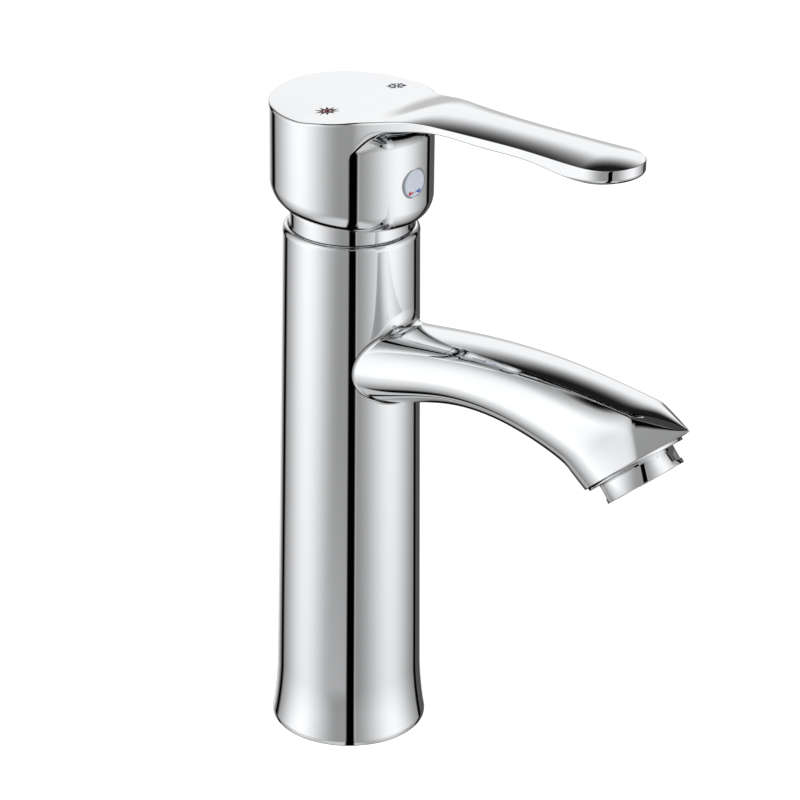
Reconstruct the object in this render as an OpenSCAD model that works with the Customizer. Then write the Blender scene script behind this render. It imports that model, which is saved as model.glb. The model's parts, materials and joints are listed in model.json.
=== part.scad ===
// Single-lever basin mixer with a 35 mm ceramic-disc cartridge.
// Origin: centre of the base on the deck. +Z is up and the spout points along -Y.

/* [Body column] */
// Height of the body from the deck to its top rim
body_h = 169.4; // [160:1:190]
// Diameter of the column at its top rim
body_top_d = 42; // [41:0.5:48]
// Diameter of the column just above the flared foot
body_low_d = 45.4; // [43:0.5:50]
// Largest diameter of the flared foot
foot_d = 48.8; // [48:0.5:54]
// Height of the flare at the foot
flare_h = 20; // [14:1:28]
// Rounding of the top rim
rim_r = 2; // [0.8:0.2:2.2]
// Diameter of the hollow that takes the hoses
hose_cavity_d = 36; // [32:0.5:37]
// Height of the block between the hose cavity and the cartridge chamber
block_h = 30; // [29:1:36]
// Height of the mixing chamber inside the block
mixing_h = 13; // [12:0.5:13]
// Diameter of the mixing chamber
mixing_d = 33; // [31:0.5:35]

/* [Connections] */
// Major diameter of the hose threads, M10 x 1
hose_thread_d = 10; // [8:0.5:10]
// Depth of the hose threads
hose_thread_depth = 9; // [7:0.5:10]
// Half the distance between the two hose threads
hose_half_pitch = 9.6; // [9.4:0.1:10]
// Distance of the hose threads in front of the column axis
hose_front = 5; // [4.5:0.25:5]
// Wall of the threaded bushes
bush_wall = 1.25; // [1:0.05:1.25]
// Thickness of the bushes' flanges
bush_flange_t = 1; // [0.8:0.1:1.5]
// Width of the bushes' flanges outside their walls
bush_flange_w = 0.5; // [0.3:0.1:0.5]
// Major diameter of the mounting stud thread, M8
stud_thread_d = 8; // [6:1:8]
// Depth of the stud thread
stud_depth = 16; // [10:1:18]
// Diameter of the boss around the stud thread
stud_boss_d = 14; // [12:0.5:16]
// Height of the stud boss
stud_boss_h = 22; // [20:1:30]
// Recess of the stud boss above the deck
stud_recess = 4; // [3:0.5:8]
// Thickness of the sealing ring under the foot
gasket_t = 2; // [1.5:0.25:3]
// Width of the sealing ring under the foot
gasket_w = 2.6; // [2:0.1:3]

/* [Spout] */
// Horizontal distance from the column axis to the centre of the outlet
reach = 110.6; // [100:1:130]
// Depth of the spout root's centre below the cartridge chamber floor
root_drop = 11; // [11:0.5:16]
// Drop of the outlet's centre below the root's centre
outlet_drop = 3.9; // [0:0.5:10]
// Outward tilt of the outlet from straight down
outlet_tilt = 41; // [30:1:45]
// Radius of the spout's round end
end_r = 16.5; // [16:0.25:18]
// Distance from the outlet's centre to the point of the beak
beak = 25; // [22:0.5:28]
// Diameter of the water passage through the spout
passage_d = 10; // [8:0.5:11]
// Diameter of the lip around the outlet
lip_d = 31; // [29:0.5:32]
// Height of the lip around the outlet
lip_t = 0.9; // [0.6:0.1:1.5]
// Rise of the spout's crest above the root's centre
spout_rise = 17.6; // [15:0.2:20]
// Half width of the spout at the column
root_half_w = 15.2; // [13:0.2:17]
// Half width of the flat crest along the top of the spout
crest_half_w = 7.1; // [5:0.2:9]

/* [Aerator] */
// Major diameter of the aerator thread, M24 x 1
aerator_thread_d = 24; // [22:0.5:24]
// Length of the aerator thread
aerator_thread_h = 7; // [5:0.5:9]
// Diameter of the visible collar
collar_d = 25.2; // [24.8:0.2:28]
// Height of the visible collar
collar_h = 5.8; // [5:0.2:9]
// Distance across the two wrench flats
flats_w = 22; // [21:0.2:24]
// Height of the uncut rim below the flats
collar_rim = 1.6; // [1:0.2:3]
// Diameter of the stream opening
stream_d = 19; // [16:0.5:20]
// Thickness of the flat aerator gasket
aerator_gasket_t = 2; // [1.5:0.25:2.5]

/* [Cartridge] */
// Diameter of the cartridge housing
cartridge_d = 35; // [34:0.25:35.4]
// Thickness of the plastic base with the ports
base_t = 4; // [3.5:0.25:5]
// Thickness of the fixed ceramic disc
fixed_disc_t = 3.5; // [3:0.25:5]
// Thickness of the moving ceramic disc
moving_disc_t = 3.5; // [3:0.25:5]
// Diameter of the moving ceramic disc
moving_disc_d = 22.4; // [21:0.4:23]
// Thickness of the coupler on the moving disc
coupler_t = 4.5; // [4:0.25:6]
// Thickness of the rotor's flange
rotor_flange_t = 2.4; // [2:0.2:4]
// Thickness of the slide ring above the rotor's flange
slide_ring_t = 0.9; // [0.6:0.1:1.5]
// Thickness of the housing's roof
housing_roof_t = 2.7; // [2:0.1:4]
// Diameter of the housing's neck
housing_neck_d = 29.6; // [28:0.2:30]
// Height of the housing's neck above the shoulder
housing_neck_h = 13.6; // [12:0.2:15]
// Diameter of the rotor's barrel
rotor_d = 22.2; // [20:0.2:24]
// Distance from the ball of the stem to the pivot pin
ball_drop = 11; // [10:0.25:12]
// Diameter of the ball at the foot of the stem
ball_d = 5.2; // [4.8:0.2:5.6]
// Diameter of the pivot pin
pin_d = 3.5; // [3:0.25:4]
// Side of the square stem
stem_w = 7; // [6:0.25:7.5]
// Height of the stem's top above the body's rim
stem_rise = 28; // [26:0.5:29]
// Length of the stem's square part below the pivot pin
stem_square_drop = 5; // [4:0.25:5.5]
// Diameter of the ports through the base and the fixed disc
port_d = 6; // [5:0.25:6.5]
// Distance of the two inlet ports in front of the column axis
port_front = 5; // [4.5:0.25:5.5]
// Half the distance between the two inlet ports
port_side = 6.5; // [6:0.25:7]
// Distance of the outlet port behind the column axis
port_back = 6.5; // [6:0.25:7]
// Lift of the lever from closed to fully open
lift_angle = 20; // [12:1:21]

/* [Nut and bonnet] */
// Major diameter of the retaining nut's thread, M37 x 1
nut_thread_d = 37; // [36.5:0.25:37.5]
// Length of the nut's thread inside the body
nut_thread_h = 6; // [5:0.5:8]
// Height of the nut's upper thread, which carries the bonnet
nut_upper_h = 4; // [3:0.5:5]
// Outer diameter of the bonnet
bonnet_d = 38; // [37.6:0.2:39]
// Wall of the bonnet
bonnet_wall = 1.3; // [1:0.1:1.6]
// Depth of the recess that the bonnet stands in
bonnet_recess = 1.4; // [1:0.2:2]
// Radius of the bonnet's dome around the pivot pin
dome_r = 21.3; // [20.8:0.1:21.4]
// Diameter of the hole in the top of the bonnet
bonnet_mouth_d = 31.4; // [31:0.2:33]

/* [Handle] */
// Diameter of the handle's cap
cap_d = 50; // [48:0.2:54]
// Height of the cap's top face above the body's rim
cap_top = 39.8; // [38:0.2:46]
// Rounding of the cap's top rim
cap_rim_r = 2; // [0.8:0.2:2.4]
// Height of the cap's lower edge above the body's rim, on the axis
cap_gap = 7.6; // [7.4:0.2:10]
// Slope of the cap's lower edge, down towards the lever
cap_edge_angle = 7.1; // [3:0.5:8]
// Diameter of the cap's lower edge
cap_mouth_d = 42.2; // [41.4:0.2:43]
// Height of the rounding above the cap's lower edge
cap_round_h = 9; // [6:0.5:11]
// Distance by which the rounding runs out past the cap's wall
cap_round_out = 1; // [0.9:0.1:1.4]
// Thickness of the cap's lower lip
cap_lip = 1; // [0.6:0.1:1.1]
// Wall of the cap
cap_wall = 2.6; // [1.8:0.2:3]
// Thickness of the cap's roof on the axis
cap_roof = 6; // [5:0.5:7]
// Distance from the column axis to the tip of the lever
lever_reach = 107.6; // [95:1:125]
// Length of the lever's round tip
lever_tip_l = 14; // [10:0.5:18]
// Height of the lever's edge above the cap's top face at mid-length
lever_lift = 5.6; // [4:0.2:7]
// Half width of the lever at its waist
lever_waist = 9.7; // [8:0.1:11]
// Height of the lever's side band near its tip
lever_band = 4.8; // [4:0.2:6]
// Crown of the lever's top face
lever_crown = 1.6; // [0.5:0.1:2.5]
// Diameter of the socket boss around the stem
socket_d = 13.4; // [12.4:0.2:14]
// Height of the index button's centre above the body's rim
button_rise = 19.4; // [18.5:0.2:21]
// Diameter of the index button
button_d = 10; // [8:0.5:11]
// Thickness of the index button's head
button_t = 1.2; // [0.8:0.1:1.5]
// Major diameter of the grub screw, M5
grub_d = 5; // [4:0.5:5]
// Length of the grub screw
grub_l = 8; // [6:0.5:9]

/* [Colour marks] */
// Depth of the enamelled marks in the cap's top face
mark_depth = 0.4; // [0.2:0.05:0.6]
// Outer diameter of the sun mark for hot water
hot_mark_d = 7.6; // [5:0.2:8]
// Outer diameter of the snowflake mark for cold water
cold_mark_d = 6.2; // [5:0.2:8]
// Distance of the hot mark to the left of the handle's centre line
hot_mark_side = 13.2; // [11:0.2:17]
// Distance of the cold mark to the right of the handle's centre line
cold_mark_side = 16.8; // [11:0.2:17]

/* [Clearances] */
// Radial clearance of turning and sliding fits
fit_gap = 0.05; // [0.02:0.01:0.08]
// Clearance between faces that move past each other
move_gap = 0.35; // [0.2:0.05:0.5]
// Radial clearance of parts that drop into a bore
drop_gap = 0.12; // [0.08:0.02:0.2]

/* [Hidden] */
$fn = 96;

chrome = "gainsboro";
brass = "darkkhaki";
cut = 0.01;
well_clear = 12;

// Heights of the cartridge stack, from the rim of the body down to the chamber floor
shoulder_z = body_h - bonnet_recess - nut_thread_h;
roof_z = shoulder_z - housing_roof_t;
flange_top_z = roof_z - slide_ring_t;
flange_z = flange_top_z - rotor_flange_t;
coupler_top_z = flange_z - move_gap;
moving_top_z = coupler_top_z - coupler_t;
fixed_top_z = moving_top_z - moving_disc_t;
base_top_z = fixed_top_z - fixed_disc_t;
floor_z = base_top_z - base_t;
block_z = floor_z - block_h;

// The stem's ball sits in the coupler's pocket, just clear of its floor
pocket_floor = 0.5;
ball_z = moving_top_z + pocket_floor + ball_d / 2;
pin_z = ball_z + ball_drop;
housing_top_z = shoulder_z + housing_neck_h;
limit_ring_t = 1.8;
rotor_top_z = housing_top_z + move_gap + limit_ring_t;
disc_travel = ball_drop * lift_angle * PI / 180;

chamber_r = cartridge_d / 2 + drop_gap;
housing_r = cartridge_d / 2;
housing_inner_r = housing_r - 1.7;
base_rim_w = 1.1;
fixed_disc_r = housing_inner_r - base_rim_w - drop_gap;
rotor_r = rotor_d / 2;
moving_disc_r = moving_disc_d / 2;

// Places of the three ports, in front of the axis and to its sides
port_r = port_d / 2;
inlet_at = [port_front, port_side];
outlet_at = [-port_back, 0];
port_places = [inlet_at, [inlet_at[0], -inlet_at[1]], outlet_at];
seal_w = 1.1;
seal_t = 1.2;
peg_r = 1.4;
peg_h = 2.2;
peg_at = [-2, 12];

// ---- Helpers ----

// Turns the working direction +X to the front of the part, -Y
module front() {
    rotate([0, 0, -90])
        children();
}

module tube(r_out, r_in, h) {
    difference() {
        cylinder(r = r_out, h = h);
        translate([0, 0, -1])
            cylinder(r = r_in, h = h + 2);
    }
}

// A smooth curve through the rows of a table, at u = 0 .. rows - 1
function smooth_row(rows, u) =
    let (
        last = len(rows) - 1,
        i = min(floor(u), last - 1),
        t = u - i,
        b = rows[i],
        c = rows[i + 1],
        a = i > 0 ? rows[i - 1] : 2 * b - c,
        d = i < last - 1 ? rows[i + 2] : 2 * c - b
    )
    0.5 * (2 * b + (c - a) * t + (2 * a - 5 * b + 4 * c - d) * t * t + (3 * b - a - 3 * c + d) * t * t * t);

// A closed solid through equal rings of points
module loft(rings) {
    n = len(rings[0]);
    m = len(rings);
    polyhedron(
        points = [for (ring = rings) each ring],
        faces = [
            [for (j = [0 : n - 1]) j],
            for (i = [0 : m - 2], j = [0 : n - 1])
                [i * n + j, (i + 1) * n + j, (i + 1) * n + (j + 1) % n, i * n + (j + 1) % n],
            [for (j = [0 : n - 1]) m * n - 1 - j]
        ]
    );
}

// Points of one side of a ring, then the same points mirrored to the other side
function both_sides(half) = [
    each half,
    for (k = [len(half) - 2 : -1 : 1]) [-half[k][0], half[k][1]]
];

// ---- Spout ----

root_z = floor_z - root_drop;
outlet_z = root_z - outlet_drop;
outlet_dir = [sin(outlet_tilt), 0, -cos(outlet_tilt)];
outlet_rise = [cos(outlet_tilt), sin(outlet_tilt)];
keel_end = [reach, outlet_z] - end_r * outlet_rise;
beak_end = [reach, outlet_z] + beak * outlet_rise;

// Keel x and z, crest x and z, half width, crest half width, belly share, shoulder fullness, crown.
// The x values are shares of the reach and the z values are shares of the spout's rise.
spout_table = [
    [0.07, -0.875, 0.07, 0.614, 1.00, 1.00, 0.50, 0.68, 0.034],
    [0.23, -0.614, 0.23, 0.744, 1.00, 1.00, 0.50, 0.68, 0.034],
    [0.43, -0.261, 0.45, 0.926, 0.95, 1.03, 0.50, 0.68, 0.034],
    [0.63, -0.233, 0.72, 1.000, 0.97, 1.00, 0.50, 0.68, 0.034],
    [0.79, -0.449, 0.96, 0.915, 1.05, 0.95, 0.48, 0.60, 0.028],
    [0.84, -0.619, 1.07, 0.852, 1.07, 0.68, 0.44, 0.48, 0.023]
];
spout_rows = [
    for (row = spout_table)
        [
            row[0] * reach, root_z + row[1] * spout_rise,
            row[2] * reach, root_z + row[3] * spout_rise,
            row[4] * root_half_w, row[5] * crest_half_w,
            row[6], row[7], row[8] * spout_rise
        ],
    [
        keel_end[0], keel_end[1], beak_end[0], beak_end[1],
        end_r, 0.05, end_r / (end_r + beak), 0.3, 0
    ]
];
spout_steps = 6;
belly_steps = 8;
shoulder_steps = 6;
crest_steps = 2;

// One side of the spout's cross-section, as [sideways, up] from the keel to the crest
function spout_half(w, crest, belly, shoulder, crown, h) =
    let (
        mid = belly * h,
        edge = h - crown,
        bend = mid + shoulder * (edge - mid)
    )
    [
        for (k = [0 : belly_steps - 1])
            let (a = 90 * k / belly_steps)
            [w * sin(a), mid * (1 - cos(a))],
        for (k = [0 : shoulder_steps - 1])
            let (t = k / shoulder_steps)
            [
                (1 - t) * (1 - t) * w + 2 * t * (1 - t) * w + t * t * crest,
                (1 - t) * (1 - t) * mid + 2 * t * (1 - t) * bend + t * t * edge
            ],
        for (k = [0 : crest_steps])
            let (q = 1 - k / crest_steps)
            [crest * q, edge + crown * (1 - q * q)]
    ];

function spout_ring(row) =
    let (
        keel = [row[0], row[1]],
        rise = [row[2], row[3]] - keel,
        h = norm(rise),
        up = rise / h
    )
    [
        for (p = both_sides(spout_half(row[4], row[5], row[6], row[7], row[8], h)))
            [keel[0] + up[0] * p[1], p[0], keel[1] + up[1] * p[1]]
    ];

module spout_shell() {
    last = len(spout_rows) - 1;
    loft([for (k = [0 : last * spout_steps]) spout_ring(smooth_row(spout_rows, k / spout_steps))]);
}

// Moves children to the outlet, with +Z pointing into the spout along the outlet's axis
module at_outlet() {
    translate([reach, 0, outlet_z])
        rotate([0, -outlet_tilt, 0])
            children();
}

// ---- Faucet body ----

seat_depth = aerator_thread_h + aerator_gasket_t;
aerator_bore_r = aerator_thread_d / 2;
aerator_seat_r = aerator_bore_r - 1.5;
outlet_chamber_h = 6;
passage_z = root_z - 0.5;
// The passage ends inside the chamber above the aerator
passage_end = [reach, outlet_z] + (seat_depth + outlet_chamber_h - 2) *
    [-sin(outlet_tilt), cos(outlet_tilt)];
stud_x = -(hose_cavity_d / 2 - stud_boss_d / 2 + 1);
hose_bush_r = hose_thread_d / 2 + bush_wall;
stud_bush_r = stud_thread_d / 2 + bush_wall;
gasket_r = (hose_cavity_d / 2 + foot_d / 2) / 2 + 0.2;
rim_steps = 5;
flare_steps = 8;
foot_edge = 1.5;

// Radius of the foot, from t = 0 at the top of the flare to t = 1 near the deck
function foot_r(t) = body_low_d / 2 + (foot_d - body_low_d) / 2 * t * t;

module column() {
    top_r = body_top_d / 2;
    rotate_extrude()
        polygon([
            [0, 0],
            [foot_r(1) - foot_edge / 2, 0],
            for (k = [0 : flare_steps])
                let (t = k / flare_steps)
                [foot_r(1 - t), foot_edge + (flare_h - foot_edge) * t],
            for (k = [0 : rim_steps])
                let (a = 90 * k / rim_steps)
                [top_r - rim_r * (1 - cos(a)), body_h - rim_r * (1 - sin(a))],
            [0, body_h]
        ]);
}

module stud_boss() {
    translate([stud_x, 0, stud_recess])
        cylinder(d = stud_boss_d, h = stud_boss_h);
}

// The chamber that collects the mixed water, crossed by the two inlet pipes
module mixing_chamber() {
    translate([0, 0, root_z - mixing_h / 2])
        difference() {
            cylinder(d = mixing_d, h = mixing_h);
            for (side = [-1, 1])
                translate([inlet_at[0], side * inlet_at[1], -1])
                    cylinder(r = port_r + 1.4, h = mixing_h + 2);
        }
}

module water_ways() {
    for (side = [-1, 1]) {
        translate([hose_front, side * hose_half_pitch, block_z - 1])
            cylinder(r = hose_bush_r, h = hose_thread_depth + 1);
        translate([inlet_at[0], side * inlet_at[1], block_z + hose_thread_depth - cut])
            cylinder(r = port_r - 0.2, h = block_h + 1);
        translate([peg_at[0], side * peg_at[1], floor_z - peg_h - drop_gap])
            cylinder(r = peg_r + drop_gap, h = block_h);
    }
    mixing_chamber();
    translate([outlet_at[0], outlet_at[1], root_z])
        cylinder(r = port_r, h = block_h);
    run = [passage_end[0], passage_end[1] - passage_z];
    passage_start = mixing_d / 2 - 2;
    translate([0, 0, passage_z])
        rotate([0, atan2(run[0], run[1]), 0])
            translate([0, 0, passage_start])
                cylinder(d = passage_d, h = norm(run) - passage_start);
    at_outlet() {
        translate([0, 0, -lip_t - 1])
            cylinder(r = aerator_bore_r, h = seat_depth + lip_t + 1);
        cylinder(r = aerator_seat_r, h = seat_depth + outlet_chamber_h);
    }
}

module body_hollows() {
    // Hose cavity from below
    difference() {
        translate([0, 0, -1])
            cylinder(d = hose_cavity_d, h = block_z + 1);
        stud_boss();
    }
    // Cartridge chamber, nut thread and bonnet recess from above
    translate([0, 0, floor_z])
        cylinder(r = chamber_r, h = body_h);
    translate([0, 0, shoulder_z])
        cylinder(d = nut_thread_d, h = body_h);
    translate([0, 0, body_h - bonnet_recess])
        cylinder(r = bonnet_d / 2 + drop_gap, h = body_h);
    water_ways();
    translate([stud_x, 0, -1])
        cylinder(r = stud_bush_r, h = stud_recess + stud_depth + 1);
    // Groove of the base gasket
    translate([0, 0, -1])
        tube(gasket_r + gasket_w / 2, gasket_r - gasket_w / 2, gasket_t + 1);
}

module faucet_body() {
    color(chrome)
        front()
            difference() {
                union() {
                    column();
                    spout_shell();
                    at_outlet()
                        translate([0, 0, -lip_t])
                            cylinder(d = lip_d, h = lip_t + 1);
                }
                body_hollows();
            }
}

// A flanged bush that stands in its hole from z = 0 up
module bush(bore_d, depth) {
    r_out = bore_d / 2 + bush_wall;
    difference() {
        union() {
            cylinder(r = r_out, h = depth);
            translate([0, 0, -bush_flange_t])
                cylinder(r = r_out + bush_flange_w, h = bush_flange_t);
        }
        translate([0, 0, -bush_flange_t - 1])
            cylinder(d = bore_d, h = depth + bush_flange_t + 2);
    }
}

module inlet_bushes() {
    color(brass)
        front()
            for (side = [-1, 1])
                translate([hose_front, side * hose_half_pitch, block_z])
                    bush(hose_thread_d, hose_thread_depth);
}

module stud_bush() {
    color(brass)
        front()
            translate([stud_x, 0, stud_recess])
                bush(stud_thread_d, stud_depth);
}

module base_gasket() {
    color("dimgray")
        tube(gasket_r + gasket_w / 2, gasket_r - gasket_w / 2, gasket_t);
}

// ---- Cartridge ----

// Copies children to the three ports
module at_ports() {
    for (place = port_places)
        translate([place[0], place[1], 0])
            children();
}

base_flange_t = 2.4;

module cartridge_base() {
    color("whitesmoke")
        front()
            translate([0, 0, floor_z])
                difference() {
                    union() {
                        cylinder(r = housing_r, h = base_flange_t);
                        cylinder(r = housing_inner_r - fit_gap, h = base_t + fixed_disc_t / 2);
                        for (side = [-1, 1])
                            translate([peg_at[0], side * peg_at[1], -peg_h])
                                cylinder(r = peg_r, h = peg_h + 1);
                    }
                    translate([0, 0, base_t])
                        cylinder(r = fixed_disc_r, h = fixed_disc_t);
                    at_ports() {
                        translate([0, 0, -1])
                            cylinder(r = port_r, h = base_t + 2);
                        translate([0, 0, -1])
                            cylinder(r = port_r + seal_w, h = seal_t + 1);
                        translate([0, 0, base_t - seal_t])
                            cylinder(r = port_r + seal_w, h = seal_t + 1);
                    }
                }
}

module port_seals() {
    color("firebrick")
        front()
            translate([0, 0, floor_z])
                at_ports()
                    tube(port_r + seal_w, port_r, seal_t);
}

module disc_seals() {
    color("firebrick")
        front()
            translate([0, 0, base_top_z - seal_t])
                at_ports()
                    tube(port_r + seal_w, port_r, seal_t);
}

module fixed_disc() {
    color("ivory")
        front()
            translate([0, 0, base_top_z])
                difference() {
                    cylinder(r = fixed_disc_r, h = fixed_disc_t);
                    at_ports()
                        translate([0, 0, -1])
                            cylinder(r = port_r, h = fixed_disc_t + 2);
                }
}

// Rails of the coupler, which the rotor's lugs embrace
coupler_half_w = moving_disc_r - 1.2;
coupler_peg = [7.8, 1.2, 1];

module moving_disc() {
    pocket_h = moving_disc_t - 1.6;
    color("ivory")
        front()
            translate([0, 0, fixed_top_z])
                difference() {
                    cylinder(r = moving_disc_r, h = moving_disc_t);
                    translate([-moving_disc_r * 0.45, 0, -1])
                        cylinder(r = moving_disc_r * 0.4, h = pocket_h + 1);
                    for (side = [-1, 1]) {
                        translate([-moving_disc_r * 0.22, side * moving_disc_r * 0.5, -1])
                            cylinder(r = port_r, h = pocket_h + 1);
                        translate([side * coupler_peg[0], 0, moving_disc_t - coupler_peg[2]])
                            cylinder(r = coupler_peg[1], h = coupler_peg[2] + 1);
                    }
                }
}

ball_gap = 0.15;

module disc_coupler() {
    color("white")
        front()
            translate([0, 0, moving_top_z])
                difference() {
                    union() {
                        intersection() {
                            cylinder(r = moving_disc_r, h = coupler_t);
                            translate([-moving_disc_r, -coupler_half_w, 0])
                                cube([2 * moving_disc_r, 2 * coupler_half_w, coupler_t]);
                        }
                        for (side = [-1, 1])
                            translate([side * coupler_peg[0], 0, -coupler_peg[2]])
                                cylinder(r = coupler_peg[1], h = coupler_peg[2] + 1);
                    }
                    translate([0, 0, pocket_floor - 0.3])
                        cylinder(r = ball_d / 2 + ball_gap, h = coupler_t);
                }
}

module cartridge_housing() {
    color("lightgray")
        translate([0, 0, floor_z])
            difference() {
                union() {
                    translate([0, 0, base_flange_t])
                        cylinder(r = housing_r, h = shoulder_z - floor_z - base_flange_t);
                    cylinder(d = housing_neck_d, h = housing_top_z - floor_z);
                }
                translate([0, 0, -1])
                    cylinder(r = housing_inner_r, h = roof_z - floor_z + 1);
                cylinder(r = rotor_r + fit_gap, h = housing_top_z);
            }
}

flange_r = housing_inner_r - move_gap;

module slide_ring() {
    color("white")
        translate([0, 0, flange_top_z])
            tube(flange_r, rotor_r + move_gap, slide_ring_t);
}

// Side view of the room that the tilting stem needs inside the rotor
module stem_slot() {
    half = stem_w / 2 / cos(lift_angle) + move_gap;
    below = pin_z - flange_z + 1;
    above = rotor_top_z - pin_z + 1;
    swing = tan(lift_angle);
    rotate([90, 0, 0])
        linear_extrude(height = stem_w + 2 * move_gap, center = true)
            polygon([
                [-half, -below],
                [half + below * swing, -below],
                [half, 0],
                [half, above],
                [-half - above * swing, above],
                [-half, 0]
            ]);
}

module rotor() {
    lug_z = moving_top_z + move_gap;
    lug_half = 4;
    color("orangered")
        front()
            difference() {
                union() {
                    translate([0, 0, flange_z])
                        cylinder(r = flange_r, h = rotor_flange_t);
                    translate([0, 0, flange_z])
                        cylinder(r = rotor_r, h = rotor_top_z - flange_z);
                    difference() {
                        translate([0, 0, lug_z])
                            intersection() {
                                cylinder(r = flange_r, h = flange_z - lug_z + 1);
                                translate([-lug_half, -flange_r, 0])
                                    cube([2 * lug_half, 2 * flange_r, flange_z - lug_z + 1]);
                            }
                        translate([-lug_half - 1, -coupler_half_w - 2 * fit_gap, lug_z - 1])
                            cube([2 * lug_half + 2, 2 * coupler_half_w + 4 * fit_gap, flange_z - lug_z + 1]);
                    }
                }
                translate([0, 0, pin_z]) {
                    stem_slot();
                    rotate([90, 0, 0])
                        cylinder(d = pin_d, h = 2 * rotor_d, center = true);
                }
            }
}

module limit_ring() {
    color("red")
        translate([0, 0, rotor_top_z - limit_ring_t])
            tube(housing_neck_d / 2 - 0.6, rotor_r, limit_ring_t);
}

module pivot_pin() {
    color("silver")
        front()
            translate([0, 0, pin_z])
                rotate([90, 0, 0])
                    cylinder(d = pin_d, h = rotor_d - 0.8, center = true);
}

stem_top_z = body_h + stem_rise;
stem_shank_r = 2;

module lever_stem() {
    square_z = pin_z - stem_square_drop;
    color(brass)
        front()
            difference() {
                union() {
                    translate([-stem_w / 2, -stem_w / 2, square_z])
                        cube([stem_w, stem_w, stem_top_z - square_z]);
                    translate([0, 0, ball_z])
                        cylinder(r = stem_shank_r, h = square_z - ball_z + 1);
                    translate([0, 0, ball_z])
                        sphere(d = ball_d);
                }
                translate([0, 0, pin_z])
                    rotate([90, 0, 0])
                        cylinder(r = pin_d / 2 + fit_gap, h = rotor_d, center = true);
            }
}

// ---- Nut and bonnet ----

nut_bore_r = housing_neck_d / 2 + 0.4;
nut_upper_r = bonnet_d / 2 - bonnet_wall;
nut_top_z = body_h - bonnet_recess + nut_upper_h;

module retaining_nut() {
    notch_w = 5;
    color(brass)
        difference() {
            union() {
                translate([0, 0, shoulder_z])
                    cylinder(d = nut_thread_d, h = nut_thread_h);
                translate([0, 0, shoulder_z])
                    cylinder(r = nut_upper_r, h = nut_top_z - shoulder_z);
            }
            translate([0, 0, shoulder_z - 1])
                cylinder(r = nut_bore_r, h = nut_top_z);
            // Notches for the pin spanner
            for (turn = [0, 90])
                rotate([0, 0, turn + 45])
                    translate([-nut_thread_d, -notch_w / 2, nut_top_z - 1.6])
                        cube([2 * nut_thread_d, notch_w, 2]);
        }
}

module bonnet() {
    foot_z = body_h - bonnet_recess;
    r_out = bonnet_d / 2;
    color(chrome)
        difference() {
            intersection() {
                translate([0, 0, foot_z])
                    cylinder(r = r_out, h = dome_r + pin_z - foot_z);
                union() {
                    translate([0, 0, pin_z])
                        sphere(r = dome_r);
                    translate([0, 0, foot_z])
                        cylinder(r = r_out, h = 2);
                }
            }
            translate([0, 0, foot_z - 1])
                cylinder(r = nut_upper_r, h = nut_upper_h + 1.3);
            translate([0, 0, foot_z + nut_upper_h])
                intersection() {
                    cylinder(r = nut_upper_r, h = dome_r);
                    translate([0, 0, pin_z - foot_z - nut_upper_h])
                        sphere(r = dome_r - bonnet_wall);
                }
            translate([0, 0, foot_z])
                cylinder(d = bonnet_mouth_d, h = dome_r * 2);
        }
}

// ---- Handle ----

cap_r = cap_d / 2;
cap_top_z = body_h + cap_top;
cap_edge_z = body_h + cap_gap;
cap_inner_r = cap_r - cap_wall;
roof_under_z = cap_top_z - cap_roof;
button_z = body_h + button_rise;
round_steps = 8;
socket_z = button_z - grub_d / 2 - 1.8;

// Moves children to the cap's lower edge, turned to its slope
module at_cap_edge() {
    translate([0, 0, cap_edge_z])
        rotate([0, cap_edge_angle, 0])
            children();
}

// What is cut away below and around the cap's rounded lower edge
module cap_edge_cutter() {
    mouth_r = cap_mouth_d / 2;
    w = cap_r + cap_round_out - mouth_r;
    rotate_extrude()
        polygon([
            [0, 0],
            for (k = [0 : round_steps])
                let (a = 90 * (1 - k / round_steps))
                [mouth_r + w * cos(a), cap_round_h * (1 - sin(a))],
            [cap_r + well_clear, cap_round_h],
            [cap_r + well_clear, -well_clear],
            [0, -well_clear]
        ]);
}

module cap_hollow() {
    lip_r = cap_mouth_d / 2 - cap_lip;
    taper_h = cap_round_h - 2;
    at_cap_edge()
        translate([0, 0, -cut])
            cylinder(r1 = lip_r, r2 = cap_inner_r, h = taper_h);
    intersection() {
        translate([0, 0, cap_edge_z - 5])
            cylinder(r = cap_inner_r, h = roof_under_z - cap_edge_z + 5);
        at_cap_edge()
            translate([0, 0, taper_h - 2 * cut])
                cylinder(r = cap_r + 5, h = cap_top);
    }
}

// Shares of the lever's reach, its lift, its waist, its side band and its crown
lever_table = [
    [0.08, -0.12, 2.05, 1.25, 0.00],
    [0.15, 0.04, 1.84, 1.04, 0.10],
    [0.22, 0.52, 1.42, 0.83, 0.60],
    [0.28, 0.80, 1.27, 0.67, 0.80],
    [0.38, 0.92, 1.15, 0.56, 0.90],
    [0.54, 1.00, 1.03, 0.65, 1.00],
    [0.70, 1.09, 1.00, 0.79, 1.00],
    [0.86, 1.19, 1.06, 1.00, 0.90],
    [1.00, 1.44, 1.06, 0.96, 0.50]
];
lever_rows = [
    for (row = lever_table)
        [
            row[0] * lever_reach,
            cap_top_z + row[1] * lever_lift,
            row[2] * lever_waist,
            row[3] * lever_band,
            row[4] * lever_crown
        ]
];
lever_steps = 4;
lever_across = 4;
lever_side_steps = 2;

// Width share of the lever's round tip, at a distance before its end
function tip_share(left) =
    left >= lever_tip_l ? 1 : sqrt(1 - pow(1 - max(left, 0) / lever_tip_l, 2));

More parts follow.
